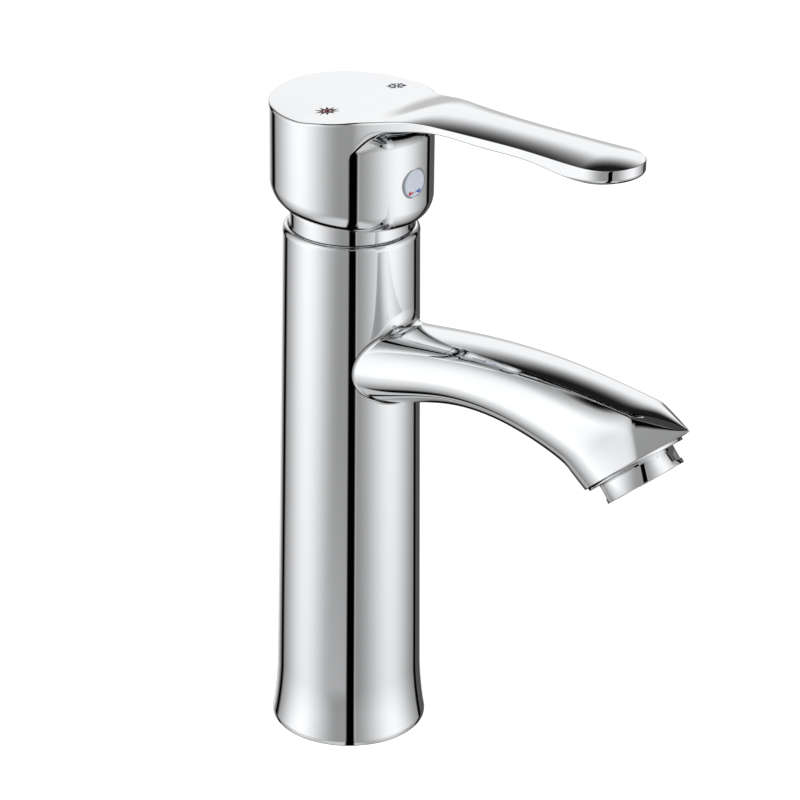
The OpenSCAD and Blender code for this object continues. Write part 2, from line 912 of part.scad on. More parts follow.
function lever_ring(row) =
    let (
        share = max(tip_share(lever_reach - row[0]), 0.02),
        w = row[2] * share,
        band = row[3],
        crown = row[4] * share,
        belly = 0.14 * w
    )
    [
        for (p = both_sides([
            for (k = [0 : lever_across])
                let (a = 90 * k / lever_across)
                [w * sin(a), -band - belly * cos(a) * cos(a)],
            for (k = [1 : lever_side_steps])
                [w, band * (k / lever_side_steps - 1)],
            for (k = [1 : lever_across])
                let (q = 1 - k / lever_across)
                [w * q, crown * (1 - q * q)]
        ]))
            [row[0], p[0], row[1] + p[1]]
    ];

module lever() {
    last = len(lever_rows) - 1;
    loft([
        for (k = [0 : last * lever_steps - 1])
            lever_ring(smooth_row(lever_rows, k / lever_steps)),
        for (t = [0.3, 0.6, 0.8, 0.92, 1])
            lever_ring(smooth_row(lever_rows, last - (1 - t) / lever_steps))
    ]);
}

module cap_solid() {
    difference() {
        rotate_extrude()
            polygon([
                [0, body_h],
                [cap_r, body_h],
                for (k = [0 : rim_steps])
                    let (a = 90 * k / rim_steps)
                    [cap_r - cap_rim_r * (1 - cos(a)), cap_top_z - cap_rim_r * (1 - sin(a))],
                [0, cap_top_z]
            ]);
        at_cap_edge()
            cap_edge_cutter();
    }
}

module handle() {
    color(chrome)
        front()
            difference() {
                union() {
                    difference() {
                        cap_solid();
                        cap_hollow();
                    }
                    translate([0, 0, socket_z])
                        cylinder(d = socket_d, h = roof_under_z - socket_z + 1);
                    lever();
                }
                // Square socket, open from below
                translate([-stem_w / 2, -stem_w / 2, socket_z - 1])
                    cube([stem_w, stem_w, stem_top_z - socket_z + 1]);
                // Grub screw thread and button seat
                translate([0, 0, button_z])
                    rotate([0, 90, 0]) {
                        cylinder(d = grub_d, h = cap_r + 1);
                        translate([0, 0, button_face - button_t])
                            cylinder(d = button_d, h = button_t + 3);
                    }
                translate([hot_mark_front, -hot_mark_side, cap_top_z - mark_depth])
                    linear_extrude(height = 2)
                        sun_outline();
                translate([cold_mark_front, cold_mark_side, cap_top_z - mark_depth])
                    linear_extrude(height = 2)
                        snowflake_outline();
            }
}

module grub_screw() {
    color("dimgray")
        front()
            translate([stem_w / 2, 0, button_z])
                rotate([0, 90, 0])
                    difference() {
                        cylinder(d = grub_d, h = grub_l);
                        translate([0, 0, grub_l - 2.5])
                            cylinder(d = 2.9, h = 3, $fn = 6);
                    }
}

button_face = cap_r + 0.1;

module index_button() {
    shank_l = 4;
    color("aliceblue")
        front()
            translate([0, 0, button_z])
                rotate([0, 90, 0]) {
                    translate([0, 0, button_face - button_t])
                        cylinder(d = button_d - 0.1, h = button_t);
                    translate([0, 0, button_face - button_t - shank_l])
                        cylinder(d = grub_d - 0.1, h = shank_l + 0.5);
                }
}

// ---- Colour marks ----

hot_mark_front = 2;
cold_mark_front = 2.9;

// A sun: a round middle with pointed rays
module sun_outline() {
    rays = 8;
    middle_r = hot_mark_d * 0.27;
    circle(r = middle_r);
    for (k = [0 : rays - 1])
        rotate([0, 0, 360 * k / rays])
            polygon([[middle_r * 0.8, -0.62], [hot_mark_d / 2, 0], [middle_r * 0.8, 0.62]]);
}

// A snowflake: six arms with a pair of twigs each
module snowflake_outline() {
    arm_w = 0.42;
    arm_l = cold_mark_d / 2;
    twig_l = arm_l * 0.42;
    for (k = [0 : 5])
        rotate([0, 0, 60 * k]) {
            translate([0, -arm_w / 2])
                square([arm_l, arm_w]);
            for (side = [-1, 1])
                translate([arm_l * 0.55, 0])
                    rotate([0, 0, side * 55])
                        translate([0, -arm_w / 2])
                            square([twig_l, arm_w]);
        }
}

module hot_mark() {
    color("darkred")
        front()
            translate([hot_mark_front, -hot_mark_side, cap_top_z - mark_depth])
                linear_extrude(height = mark_depth)
                    sun_outline();
}

module cold_mark() {
    color("slategray")
        front()
            translate([cold_mark_front, cold_mark_side, cap_top_z - mark_depth])
                linear_extrude(height = mark_depth)
                    snowflake_outline();
}

// ---- Aerator ----

cage_r = aerator_bore_r - 1.8;
cage_h = aerator_thread_h + collar_h - 2.2;
limiter_t = 1.6;

module aerator_housing() {
    color(chrome)
        front()
            at_outlet()
                difference() {
                    union() {
                        translate([0, 0, -lip_t])
                            cylinder(r = aerator_bore_r, h = aerator_thread_h + lip_t);
                        translate([0, 0, -lip_t - collar_h])
                            cylinder(d = collar_d, h = collar_rim);
                        intersection() {
                            translate([0, 0, -lip_t - collar_h])
                                cylinder(d = collar_d, h = collar_h);
                            translate([-flats_w / 2, -collar_d, -lip_t - collar_h])
                                cube([flats_w, 2 * collar_d, collar_h]);
                        }
                    }
                    translate([0, 0, -lip_t - collar_h - 1])
                        cylinder(d = stream_d, h = collar_h + aerator_thread_h);
                    translate([0, 0, aerator_thread_h - cage_h])
                        cylinder(r = cage_r, h = cage_h + 1);
                }
}

module aerator_gasket() {
    color("dimgray")
        front()
            at_outlet()
                translate([0, 0, aerator_thread_h])
                    tube(aerator_bore_r, cage_r - 1, aerator_gasket_t);
}

screen_t = 0.5;

module aerator_cage() {
    floor_t = 1.2;
    color("white")
        front()
            at_outlet()
                translate([0, 0, aerator_thread_h - cage_h + 2 * screen_t])
                    difference() {
                        cylinder(r = cage_r, h = cage_h - 2 * screen_t - limiter_t);
                        translate([0, 0, floor_t])
                            cylinder(r = cage_r - 1.6, h = cage_h);
                        for (k = [0 : 5])
                            rotate([0, 0, 60 * k])
                                translate([cage_r * 0.55, 0, -1])
                                    cylinder(d = 3, h = cage_h);
                    }
}

module flow_limiter() {
    color("seagreen")
        front()
            at_outlet()
                translate([0, 0, aerator_thread_h - limiter_t])
                    difference() {
                        cylinder(r = cage_r, h = limiter_t);
                        for (k = [0 : 7])
                            rotate([0, 0, 45 * k])
                                translate([cage_r * 0.62, 0, -1])
                                    cylinder(d = 2.2, h = limiter_t + 2);
                    }
}

module aerator_screens() {
    color("silver")
        front()
            at_outlet()
                translate([0, 0, aerator_thread_h - cage_h])
                    for (k = [0 : 1])
                        translate([0, 0, k * screen_t])
                            cylinder(r = cage_r, h = screen_t - 0.1);
}

faucet_body();
inlet_bushes();
stud_bush();
base_gasket();
bonnet();
retaining_nut();
cartridge_base();
port_seals();
disc_seals();
fixed_disc();
moving_disc();
disc_coupler();
cartridge_housing();
slide_ring();
rotor();
limit_ring();
pivot_pin();
lever_stem();
handle();
grub_screw();
index_button();
hot_mark();
cold_mark();
aerator_housing();
aerator_gasket();
flow_limiter();
aerator_cage();
aerator_screens();
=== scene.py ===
"""Single-lever basin mixer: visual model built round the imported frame.

Lengths in the classes are millimetres in the maker's own axes: x runs forward along the
spout, y to the cold side and z up. ``to_part`` turns them to the frame's metres.
"""

from __future__ import annotations

import json
import logging
import math
from contextlib import contextmanager
from dataclasses import dataclass, field
from enum import Enum
from typing import Callable, Iterator, Sequence

import bmesh
import bpy
import numpy as np
from bpy.types import Material, Mesh, Node, NodeSocket, NodeTree, World
from mathutils import Matrix, Vector
from mathutils.geometry import delaunay_2d_cdt

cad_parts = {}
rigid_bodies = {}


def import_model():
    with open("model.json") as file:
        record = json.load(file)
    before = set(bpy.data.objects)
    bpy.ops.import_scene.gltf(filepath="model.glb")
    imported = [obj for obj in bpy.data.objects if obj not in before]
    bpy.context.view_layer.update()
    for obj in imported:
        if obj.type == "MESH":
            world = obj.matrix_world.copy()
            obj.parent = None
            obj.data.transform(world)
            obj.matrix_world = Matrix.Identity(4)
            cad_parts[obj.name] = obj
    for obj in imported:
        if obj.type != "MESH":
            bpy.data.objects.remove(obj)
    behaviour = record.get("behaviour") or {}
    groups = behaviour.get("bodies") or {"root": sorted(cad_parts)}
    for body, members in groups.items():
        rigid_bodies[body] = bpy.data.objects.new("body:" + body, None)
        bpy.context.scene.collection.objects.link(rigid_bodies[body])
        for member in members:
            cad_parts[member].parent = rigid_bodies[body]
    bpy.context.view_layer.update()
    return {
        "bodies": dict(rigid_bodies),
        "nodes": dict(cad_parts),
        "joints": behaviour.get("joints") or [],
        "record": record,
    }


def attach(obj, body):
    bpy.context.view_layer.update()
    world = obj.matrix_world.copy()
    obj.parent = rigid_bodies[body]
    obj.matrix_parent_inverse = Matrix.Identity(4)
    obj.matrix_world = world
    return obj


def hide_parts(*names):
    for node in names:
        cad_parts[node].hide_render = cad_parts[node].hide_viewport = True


LOG = logging.getLogger("mixer")
MM = 0.001
Array = np.ndarray
# Drafted points in one cell of this size become one; the shift keeps round numbers off its edges.
WELD_MM = 2e-4
CELL_SHIFT = 0.137


# -------- small maths


def to_part(points: Array) -> Array:
    """Turns maker's millimetres into the frame's metres.

    Args:
        points: Points with x forward, y to the cold side and z up.

    Returns:
        The same points with -Y forward, in metres.
    """
    return turn_only(points) * MM


def turn_only(directions: Array) -> Array:
    """Turns directions to the frame's axes without scaling them."""
    d = np.asarray(directions, float)
    return np.stack([d[..., 1], -d[..., 0], d[..., 2]], axis=-1)


def unit(v: Array) -> Array:
    """Vectors scaled to length one."""
    return v / np.maximum(np.linalg.norm(v, axis=-1, keepdims=True), 1e-12)


def smooth_step(a: float, b: float, x: Array) -> Array:
    """A smooth rise from 0 at ``a`` to 1 at ``b``."""
    t = np.clip((np.asarray(x, float) - a) / (b - a), 0.0, 1.0)
    return t * t * t * (t * (6 * t - 15) + 10)


def spline(knots: Sequence[float], values: Array, x: Array) -> Array:
    """Evaluates the natural cubic spline through a table.

    Args:
        knots: Rising parameter values, one for each row.
        values: Table of shape (rows,) or (rows, columns).
        x: Where to evaluate; outside the table the end slopes go on.

    Returns:
        Values of shape x.shape or x.shape + (columns,).
    """
    k = np.asarray(knots, float)
    v = np.asarray(values, float)
    flat = v.ndim == 1
    v = v[:, None] if flat else v
    n = len(k)
    h = np.diff(k)
    system = np.zeros((n, n))
    right = np.zeros((n, v.shape[1]))
    system[0, 0] = system[-1, -1] = 1.0
    for i in range(1, n - 1):
        system[i, i - 1], system[i, i + 1] = h[i - 1], h[i]
        system[i, i] = 2 * (h[i - 1] + h[i])
        right[i] = 6 * ((v[i + 1] - v[i]) / h[i] - (v[i] - v[i - 1]) / h[i - 1])
    m = np.linalg.solve(system, right)
    x = np.asarray(x, float)
    xs = np.clip(x, k[0], k[-1])
    i = np.clip(np.searchsorted(k, xs, side="right") - 1, 0, n - 2)
    a, b = (k[i + 1] - xs)[..., None], (xs - k[i])[..., None]
    hi = h[i][..., None]
    out = (
        (m[i] * a**3 + m[i + 1] * b**3) / (6 * hi)
        + (v[i] / hi - m[i] * hi / 6) * a
        + (v[i + 1] / hi - m[i + 1] * hi / 6) * b
    )
    start = (v[1] - v[0]) / h[0] - h[0] * m[1] / 6
    end = (v[-1] - v[-2]) / h[-1] + h[-1] * m[-2] / 6
    out = out + np.minimum(x - k[0], 0)[..., None] * start + np.maximum(x - k[-1], 0)[..., None] * end
    return out[..., 0] if flat else out


def slerp(a: Array, b: Array, t: Array) -> Array:
    """Turns unit vectors ``a`` towards ``b`` by the share ``t``.

    Args:
        a: Unit vectors at share 0.
        b: Unit vectors at share 1.
        t: Shares from 0 to 1.

    Returns:
        The unit vectors between them.
    """
    dot = np.clip(np.sum(a * b, axis=-1, keepdims=True), -1, 1)
    angle = np.maximum(np.arccos(dot), 1e-9)
    return unit((np.sin((1 - t) * angle) * a + np.sin(t * angle) * b) / np.sin(angle))


def spaced(points: Array, count: int) -> Array:
    """Resamples a polyline to ``count`` points at equal steps along its length.

    Args:
        points: Corners of the polyline.
        count: How many points to return.

    Returns:
        The new points, ends kept.
    """
    s = np.concatenate([[0], np.cumsum(np.linalg.norm(np.diff(points, axis=0), axis=1))])
    want = np.linspace(0, s[-1], count)
    return np.stack([np.interp(want, s, column) for column in points.T], axis=1)


def bow(t: Array, a: Array, b: Array, c: Array) -> Array:
    """Points of the curve that leaves ``a`` towards ``b`` and comes from ``b`` into ``c``."""
    return (1 - t) ** 2 * a + 2 * t * (1 - t) * b + t * t * c


def circle_angles(count: int) -> Array:
    """Equal angles for a full turn."""
    return np.arange(count) * 2 * math.pi / count


def circle(angles: Array, radius: float = 1.0) -> Array:
    """Plane points at some angles on a circle about the origin."""
    return radius * np.stack([np.cos(angles), np.sin(angles)], axis=-1)


def at_height(plane: Array, height: Array | float) -> Array:
    """Plane points, lifted to a height."""
    return np.column_stack([plane, np.broadcast_to(height, len(plane))])


def inside(loop: Array, points: Array) -> Array:
    """Tells which points lie inside a closed plane loop, by counting crossings.

    Args:
        loop: Corners of the loop, the last not repeating the first.
        points: Plane points to test.

    Returns:
        True for each point inside.
    """
    x, y = points[:, 0][:, None], points[:, 1][:, None]
    x0, y0 = loop[:, 0][None], loop[:, 1][None]
    x1, y1 = np.roll(loop[:, 0], -1)[None], np.roll(loop[:, 1], -1)[None]
    crosses = (y0 > y) != (y1 > y)
    with np.errstate(divide="ignore", invalid="ignore"):
        at = (x1 - x0) * (y - y0) / (y1 - y0) + x0
    return (np.sum(crosses & (x < at), axis=1) % 2).astype(bool)


def gap_to(loop: Array, points: Array) -> Array:
    """Shortest distance from each point to the corners of a loop.

    Args:
        loop: Corners of the loop.
        points: Plane points to measure from.

    Returns:
        One distance for each point.
    """
    best = np.full(len(points), 1e9)
    for start in range(0, len(loop), 64):
        part = loop[start : start + 64]
        d = np.linalg.norm(points[:, None] - part[None], axis=2).min(axis=1)
        best = np.minimum(best, d)
    return best


# -------- mesh drafting


@contextmanager
def editing(mesh: Mesh) -> Iterator[bmesh.types.BMesh]:
    """Opens a mesh for editing and writes it back at the end.

    Args:
        mesh: The mesh.

    Yields:
        Its editable form.
    """
    bm = bmesh.new()
    bm.from_mesh(mesh)
    yield bm
    bm.to_mesh(mesh)
    bm.free()


class Draft:
    """Collects points, their normals and faces, and turns them into one closed mesh."""

    def __init__(self) -> None:
        """Starts an empty draft."""
        self.points: list[Array] = []
        self.normals: list[Array] = []
        self.faces: list[tuple[int, ...]] = []
        self.count = 0

    def add(self, points: Array, faces: Sequence[Sequence[int]], normals: Array | None = None) -> None:
        """Adds points with faces between them.

        Args:
            points: Array of shape (n, 3), in maker's millimetres.
            faces: Faces as indices into the points.
            normals: Unit normals of the points, or None to work them out from the faces.
        """
        self.points.append(np.asarray(points, float))
        unknown = np.full(np.shape(points), np.nan)
        self.normals.append(unknown if normals is None else np.asarray(normals, float))
        self.faces += [tuple(i + self.count for i in f) for f in faces]
        self.count += len(points)

    def grid(self, points: Array, closed: bool = False, normals: Array | None = None) -> None:
        """Adds a sheet of four-cornered faces.

        Args:
            points: Array of shape (rows, columns, 3).
            closed: Whether the last column joins the first.
            normals: Normals of the same shape, or None.
        """
        rows, cols = points.shape[:2]
        last = cols if closed else cols - 1
        faces = [
            (i * cols + j, i * cols + (j + 1) % cols, (i + 1) * cols + (j + 1) % cols, (i + 1) * cols + j)
            for i in range(rows - 1)
            for j in range(last)
        ]
        self.add(points.reshape(-1, 3), faces, None if normals is None else normals.reshape(-1, 3))

    def fan(self, ring: Array, middle: Array) -> None:
        """Closes a ring with a fan of triangles to a middle point."""
        n = len(ring)
        self.add(np.vstack([ring, middle[None]]), [(j, (j + 1) % n, n) for j in range(n)])

    def patch(
        self,
        loops: Sequence[Array],
        gaps: Sequence[float],
        fill: Array,
        lift: Callable[[Array], tuple[Array, Array | None]],
        edges: Sequence[Array],
    ) -> None:
        """Fills a plane region that has an outer loop and holes with triangles.

        Args:
            loops: Closed loops in the plane, the outer one first.
            gaps: For each loop, how far the fill stays from its corners.
            fill: Points to place inside the region.
            lift: Turns plane points into points in space and their normals, or None for normals.
            edges: The loops' exact points in space.
        """
        for k, (loop, gap) in enumerate(zip(loops, gaps)):
            fill = fill[(inside(loop, fill) ^ (k > 0)) & (gap_to(loop, fill) > gap)]
        flat = np.vstack([*loops, fill])
        joins, start = [], 0
        for loop in loops:
            joins += [(start + k, start + (k + 1) % len(loop)) for k in range(len(loop))]
            start += len(loop)
        found = delaunay_2d_cdt([Vector(p) for p in flat], joins, [], 0, 1e-7)
        where = np.array([tuple(v) for v in found[0]])
        tris = np.array([tuple(f) for f in found[2]], int)
        middle = where[tris].mean(axis=1)
        keep = inside(loops[0], middle)
        for hole in loops[1:]:
            keep &= ~inside(hole, middle)
        points, normals = lift(where)
        exact = np.vstack(edges)
        for k, origin in enumerate(found[3]):
            for i in origin:
                if i < len(exact):
                    points[k] = exact[i]
        self.add(points, [tuple(t) for t in tris[keep]], normals)

    def mesh(self, name: str) -> Mesh:
        """Welds the draft into a mesh with outward faces and smooth, exact normals.

        Args:
            name: Name of the mesh.

        Returns:
            The mesh, in the frame's metres.
        """
        points = np.vstack(self.points)
        normals = np.vstack(self.normals)
        key = np.round(points / WELD_MM + CELL_SHIFT).astype(np.int64)
        _, first, back = np.unique(key, axis=0, return_index=True, return_inverse=True)
        back = back.ravel()
        known = np.zeros((len(first), 3))
        has = ~np.isnan(normals[:, 0])
        np.add.at(known, back[has], normals[has])
        mesh = bpy.data.meshes.new(name)
        with editing(mesh) as bm:
            verts = [bm.verts.new(p) for p in to_part(points[first])]
            seen = set()
            for face in self.faces:
                ids = list(dict.fromkeys(back[list(face)].tolist()))
                mark = frozenset(ids)
                if len(ids) > 2 and mark not in seen:
                    seen.add(mark)
                    bm.faces.new([verts[j] for j in ids]).smooth = True
            bmesh.ops.recalc_face_normals(bm, faces=bm.faces)
            open_edges = sum(1 for e in bm.edges if not e.is_manifold)
        if open_edges:
            LOG.warning("%s has %d edges that do not join two faces", name, open_edges)
        own = np.zeros(len(mesh.vertices) * 3)
        mesh.vertex_normals.foreach_get("vector", own)
        own = own.reshape(-1, 3)
        given = turn_only(known)
        use = np.linalg.norm(given, axis=1) > 1e-6
        given = unit(given)
        sign = np.sign(np.sum(given * own, axis=1, keepdims=True))
        final = np.where(use[:, None] & (np.abs(sign) > 0), given * sign, own)
        mesh.normals_split_custom_set_from_vertices(final.tolist())
        return mesh


def skin_normals(skin: Array) -> Array:
    """Outward normals of a smooth skin, from its differences both ways.

    Args:
        skin: Points of shape (rows, columns, 3), with columns that go round.

    Returns:
        Unit normals of the same shape.
    """
    across = np.roll(skin, -1, axis=1) - np.roll(skin, 1, axis=1)
    normal = unit(np.cross(np.gradient(skin, axis=0), across))
    outward = skin - skin.mean(axis=1, keepdims=True)
    return normal * np.where(np.sum(normal * outward, axis=2, keepdims=True) < 0, -1, 1)


@dataclass
class Profile:
    """A half-section of a turned part: radius and height, with normals."""

    points: Array
    normals: Array

    def __add__(self, other: "Profile") -> "Profile":
        """Joins another profile on to the end of this one."""
        return Profile(np.vstack([self.points, other.points]), np.vstack([self.normals, other.normals]))

    def swept(self, out: Array) -> tuple[Array, Array]:
        """The surface swept round the z axis.

        Args:
            out: Level unit directions, one for each column.

        Returns:
            Its points and its normals, both of shape (rows, columns, 3).
        """
        points, normals = (
            np.dstack([v[:, :1] * out[:, 0], v[:, :1] * out[:, 1], np.repeat(v[:, 1:], len(out), axis=1)])
            for v in (self.points, self.normals)
        )
        return points, normals

    def spin(self, draft: Draft, angles: Array) -> None:
        """Adds the surface turned through the given angles to a draft."""
        points, normals = self.swept(circle(angles))
        draft.grid(points, closed=True, normals=normals)

    def ring(self, end: int, angles: Array) -> Array:
        """Points of the ring at one end of the profile."""
        return at_height(circle(angles, self.points[end, 0]), self.points[end, 1])


def curve_profile(points: Array) -> Profile:
    """A profile through points on a smooth curve.

    Args:
        points: Radius and height of each point, in order.

    Returns:
        The profile, with normals to the right of its direction.
    """
    p = np.asarray(points, float)
    along = unit(np.gradient(p, axis=0))
    return Profile(p, np.stack([along[:, 1], -along[:, 0]], axis=1))


def rounded(corners: Sequence[tuple[float, float, float]], steps: int = 5) -> Profile:
    """A profile of straight runs with rounded corners.

    Args:
        corners: Rows of radius, height and rounding radius.
        steps: Points on each rounding.

    Returns:
        The profile, with exact normals on its roundings.
    """
    c = np.array(corners, float)

    def side(a: Array, b: Array) -> Array:
        """Normal of the straight run from one corner to the next."""
        along = unit(b - a)
        return np.array([along[1], -along[0]])

    points, normals = [c[0, :2]], [side(c[0, :2], c[1, :2])]
    for k in range(1, len(c) - 1):
        p, before, after = c[k, :2], c[k - 1, :2], c[k + 1, :2]
        u, v = unit(before - p), unit(after - p)
        half = math.acos(float(np.clip(np.dot(u, v), -1, 1))) / 2
        most = 0.49 * min(np.linalg.norm(before - p), np.linalg.norm(after - p))
        reach = min(max(c[k, 2], 0.04) / math.tan(half), most)
        radius = reach * math.tan(half)
        centre = p + unit(u + v) * radius / math.sin(half)
        a, b = unit(p + u * reach - centre), unit(p + v * reach - centre)
        sign = 1.0 if np.dot(a, side(before, p)) > 0 else -1.0
        for t in np.linspace(0, 1, steps + 1):
            way = slerp(a, b, t)
            points.append(centre + radius * way)
            normals.append(sign * way)
    points.append(c[-1, :2])
    normals.append(side(c[-2, :2], c[-1, :2]))
    return Profile(np.array(points), np.array(normals))


def hex_points(lo: Sequence[float], hi: Sequence[float], step: float) -> Array:
    """Points of a triangular lattice inside a plane box.

    Args:
        lo: Lowest corner of the box.
        hi: Highest corner of the box.
        step: Distance between neighbours.

    Returns:
        The plane points.
    """
    rows = np.arange(lo[1], hi[1], step * math.sqrt(3) / 2)
    starts = [lo[0] + (k % 2) * step / 2 for k in range(len(rows))]
    return np.vstack([at_height(np.arange(x, hi[0], step), y) for x, y in zip(starts, rows)])


# -------- body casting


@dataclass
class Spout:
    """The curved spout with its flat crest and pointed beak."""

    reach: float = 110.6
    root_z: float = 129.15
    outlet_z: float = 125.25
    tilt: float = math.radians(41)
    end_r: float = 16.5
    beak: float = 25.0
    rise: float = 17.6
    half_w: float = 15.2
    crest_half_w: float = 7.1
    crest_edge: float = 1.0
    table: tuple[tuple[float, ...], ...] = (
        (0.07, -0.875, 0.07, 0.614, 1.00, 1.00, 0.50, 0.68, 0.060),
        (0.23, -0.614, 0.23, 0.744, 1.00, 1.00, 0.50, 0.68, 0.060),
        (0.43, -0.261, 0.45, 0.926, 0.95, 1.03, 0.50, 0.68, 0.060),
        (0.63, -0.233, 0.72, 1.000, 0.97, 1.00, 0.50, 0.68, 0.060),
        (0.79, -0.449, 0.96, 0.915, 1.05, 0.95, 0.48, 0.56, 0.050),
        (0.84, -0.619, 1.07, 0.852, 1.07, 0.93, 0.44, 0.42, 0.040),
    )
    facet: tuple[float, float, float, float] = (1.022, 0.883, 30.5, 12.4)
    facet_bulge: float = 0.7
    facet_edge: float = 0.9
    facet_depth: float = 0.15
    crest_turn: float = 2.2
    belly_steps: int = 26
    shoulder_steps: int = 44
    corner_steps: int = 7
    crest_steps: int = 9

    def outlet_axes(self) -> tuple[Array, Array, Array]:
        """Middle of the outlet, its uphill direction in the outlet's plane, and its flow direction.

        Returns:
            The three vectors, in that order.
        """
        middle = np.array([self.reach, 0.0, self.outlet_z])
        uphill = np.array([math.cos(self.tilt), 0.0, math.sin(self.tilt)])
        return middle, uphill, np.array([math.sin(self.tilt), 0.0, -math.cos(self.tilt)])

    def rows(self) -> Array:
        """The table in millimetres, with the outlet's own row at its end.

        Returns:
            One row for each section, with the table's columns.
        """
        scale = [self.reach, self.rise] * 2 + [self.half_w, self.crest_half_w, 1, 1, self.rise]
        rows = np.array(self.table) * scale + [0, self.root_z, 0, self.root_z, 0, 0, 0, 0, 0]
        middle, uphill, _ = self.outlet_axes()
        keel, tip = middle - self.end_r * uphill, middle + self.beak * uphill
        belly = self.end_r / (self.end_r + self.beak)
        end = [keel[0], keel[2], tip[0], tip[2], self.end_r, 0.9 * self.crest_half_w, belly, 0.38, 0.0]
        return np.vstack([rows, end])

    def columns(self) -> int:
        """Number of points round a section."""
        return 2 * (self.belly_steps + self.shoulder_steps + self.corner_steps + self.crest_steps)

    def height_share(self) -> Array:
        """For each column, how far it lies from the keel (0) to the crest's middle (1).

        Returns:
            One share for each column.
        """
        half = self.columns() // 2
        up = np.arange(half + 1) / half
        return np.concatenate([up, up[-2:0:-1]])

    def beak_limit(self, at: Array) -> Array:
        """Half width that the beak's flat facets leave.

        Args:
            at: Points of the middle plane, as (x, z).

        Returns:
            Distance from the middle plane to the facet.
        """
        middle, uphill, _ = self.outlet_axes()
        tip = (middle + self.beak * uphill)[[0, 2]]
        x, z, height, half = self.facet
        crest = np.array([x * self.reach, self.root_z + z * self.rise]) - tip
        low = (middle + (height - self.end_r) * uphill)[[0, 2]] - tip
        shares = (at - tip) @ np.linalg.inv(np.stack([crest, low]))
        reach = np.maximum(shares.sum(axis=-1), 0)
        lower = np.clip(shares[..., 1] / np.maximum(reach, 1e-6), 0, 1)
        bulge = 4 * self.facet_bulge * lower * (1 - lower)
        return reach * (0.95 * self.crest_half_w * (1 - lower) + half * lower + bulge)

    def trimmed(self, x: Array, at: Array, edge: float, depth: float) -> Array:
        """Cuts a half width back to the beak's facets.

        Args:
            x: The half width.
            at: Points of the middle plane, as (x, z).
            edge: Roundness of the edge that the cut leaves.
            depth: Depth of the shallow valley beside that edge.

        Returns:
            The cut half width.
        """
        over = x - self.beak_limit(at)
        past = np.maximum(over, 0) / edge
        return np.maximum(x - 0.5 * (over + np.hypot(over, edge)) - depth * past * np.exp(1 - past), 0.0)

    def sections(self, u: Array) -> Array:
        """Points of the spout's skin.

        Args:
            u: Row parameters of shape (rows, columns), 0 at the root and 6 at the outlet.

        Returns:
            Array of shape (rows, columns, 3).
        """
        table = self.rows()
        row = spline(np.arange(len(table)), table, u)
        keel, crest_at = row[..., 0:2], row[..., 2:4]
        w, crest, belly, shoulder, crown = (row[..., k] for k in range(4, 9))
        height = np.linalg.norm(crest_at - keel, axis=-1)
        up = (crest_at - keel) / height[..., None]
        mid = belly * height
        edge = height - crown
        broad = crest
        crest = np.maximum(self.trimmed(broad, keel + up * edge[..., None], self.crest_turn, 0.0), 0.05)
        bend = mid + shoulder * (edge - mid)
        half = self.columns() // 2
        index = np.arange(self.columns())
        side = np.where(index <= half, 1.0, -1.0)
        k = np.where(index <= half, index, 2 * half - index)
        ends = np.cumsum([self.belly_steps, self.shoulder_steps, self.corner_steps])
        a = np.clip(k / self.belly_steps, 0, 1) * math.pi / 2
        cut = np.minimum(self.crest_edge, 0.8 * crest)
        run = np.hypot(w - broad, edge - bend)
        t = np.clip((k - ends[0]) / self.shoulder_steps, 0, 1) * (1 - cut / (2 * run))
        z_side = bow(t, mid, bend, edge)
        x_side = (1 - t * t) * w + t * t * broad
        x_side = self.trimmed(x_side, keel + up * z_side[..., None], self.facet_edge, self.facet_depth)
        q_cut = 1 - cut / crest
        q = np.clip(1 - (k - ends[2]) / self.crest_steps, 0, 1) * q_cut
        c = np.clip((k - ends[1]) / self.corner_steps, 0, 1)
        x_corner = bow(c, x_side, crest, crest * q_cut)
        z_corner = bow(c, z_side, edge, edge + crown * (1 - q_cut**2))
        zone = np.searchsorted(ends, k)
        x = np.choose(zone, [w * np.sin(a), x_side, x_corner, crest * q])
        z = np.choose(zone, [mid * (1 - np.cos(a)), z_side, z_corner, edge + crown * (1 - q * q)])
        return np.stack([keel[..., 0] + up[..., 0] * z, side * x, keel[..., 1] + up[..., 1] * z], axis=-1)


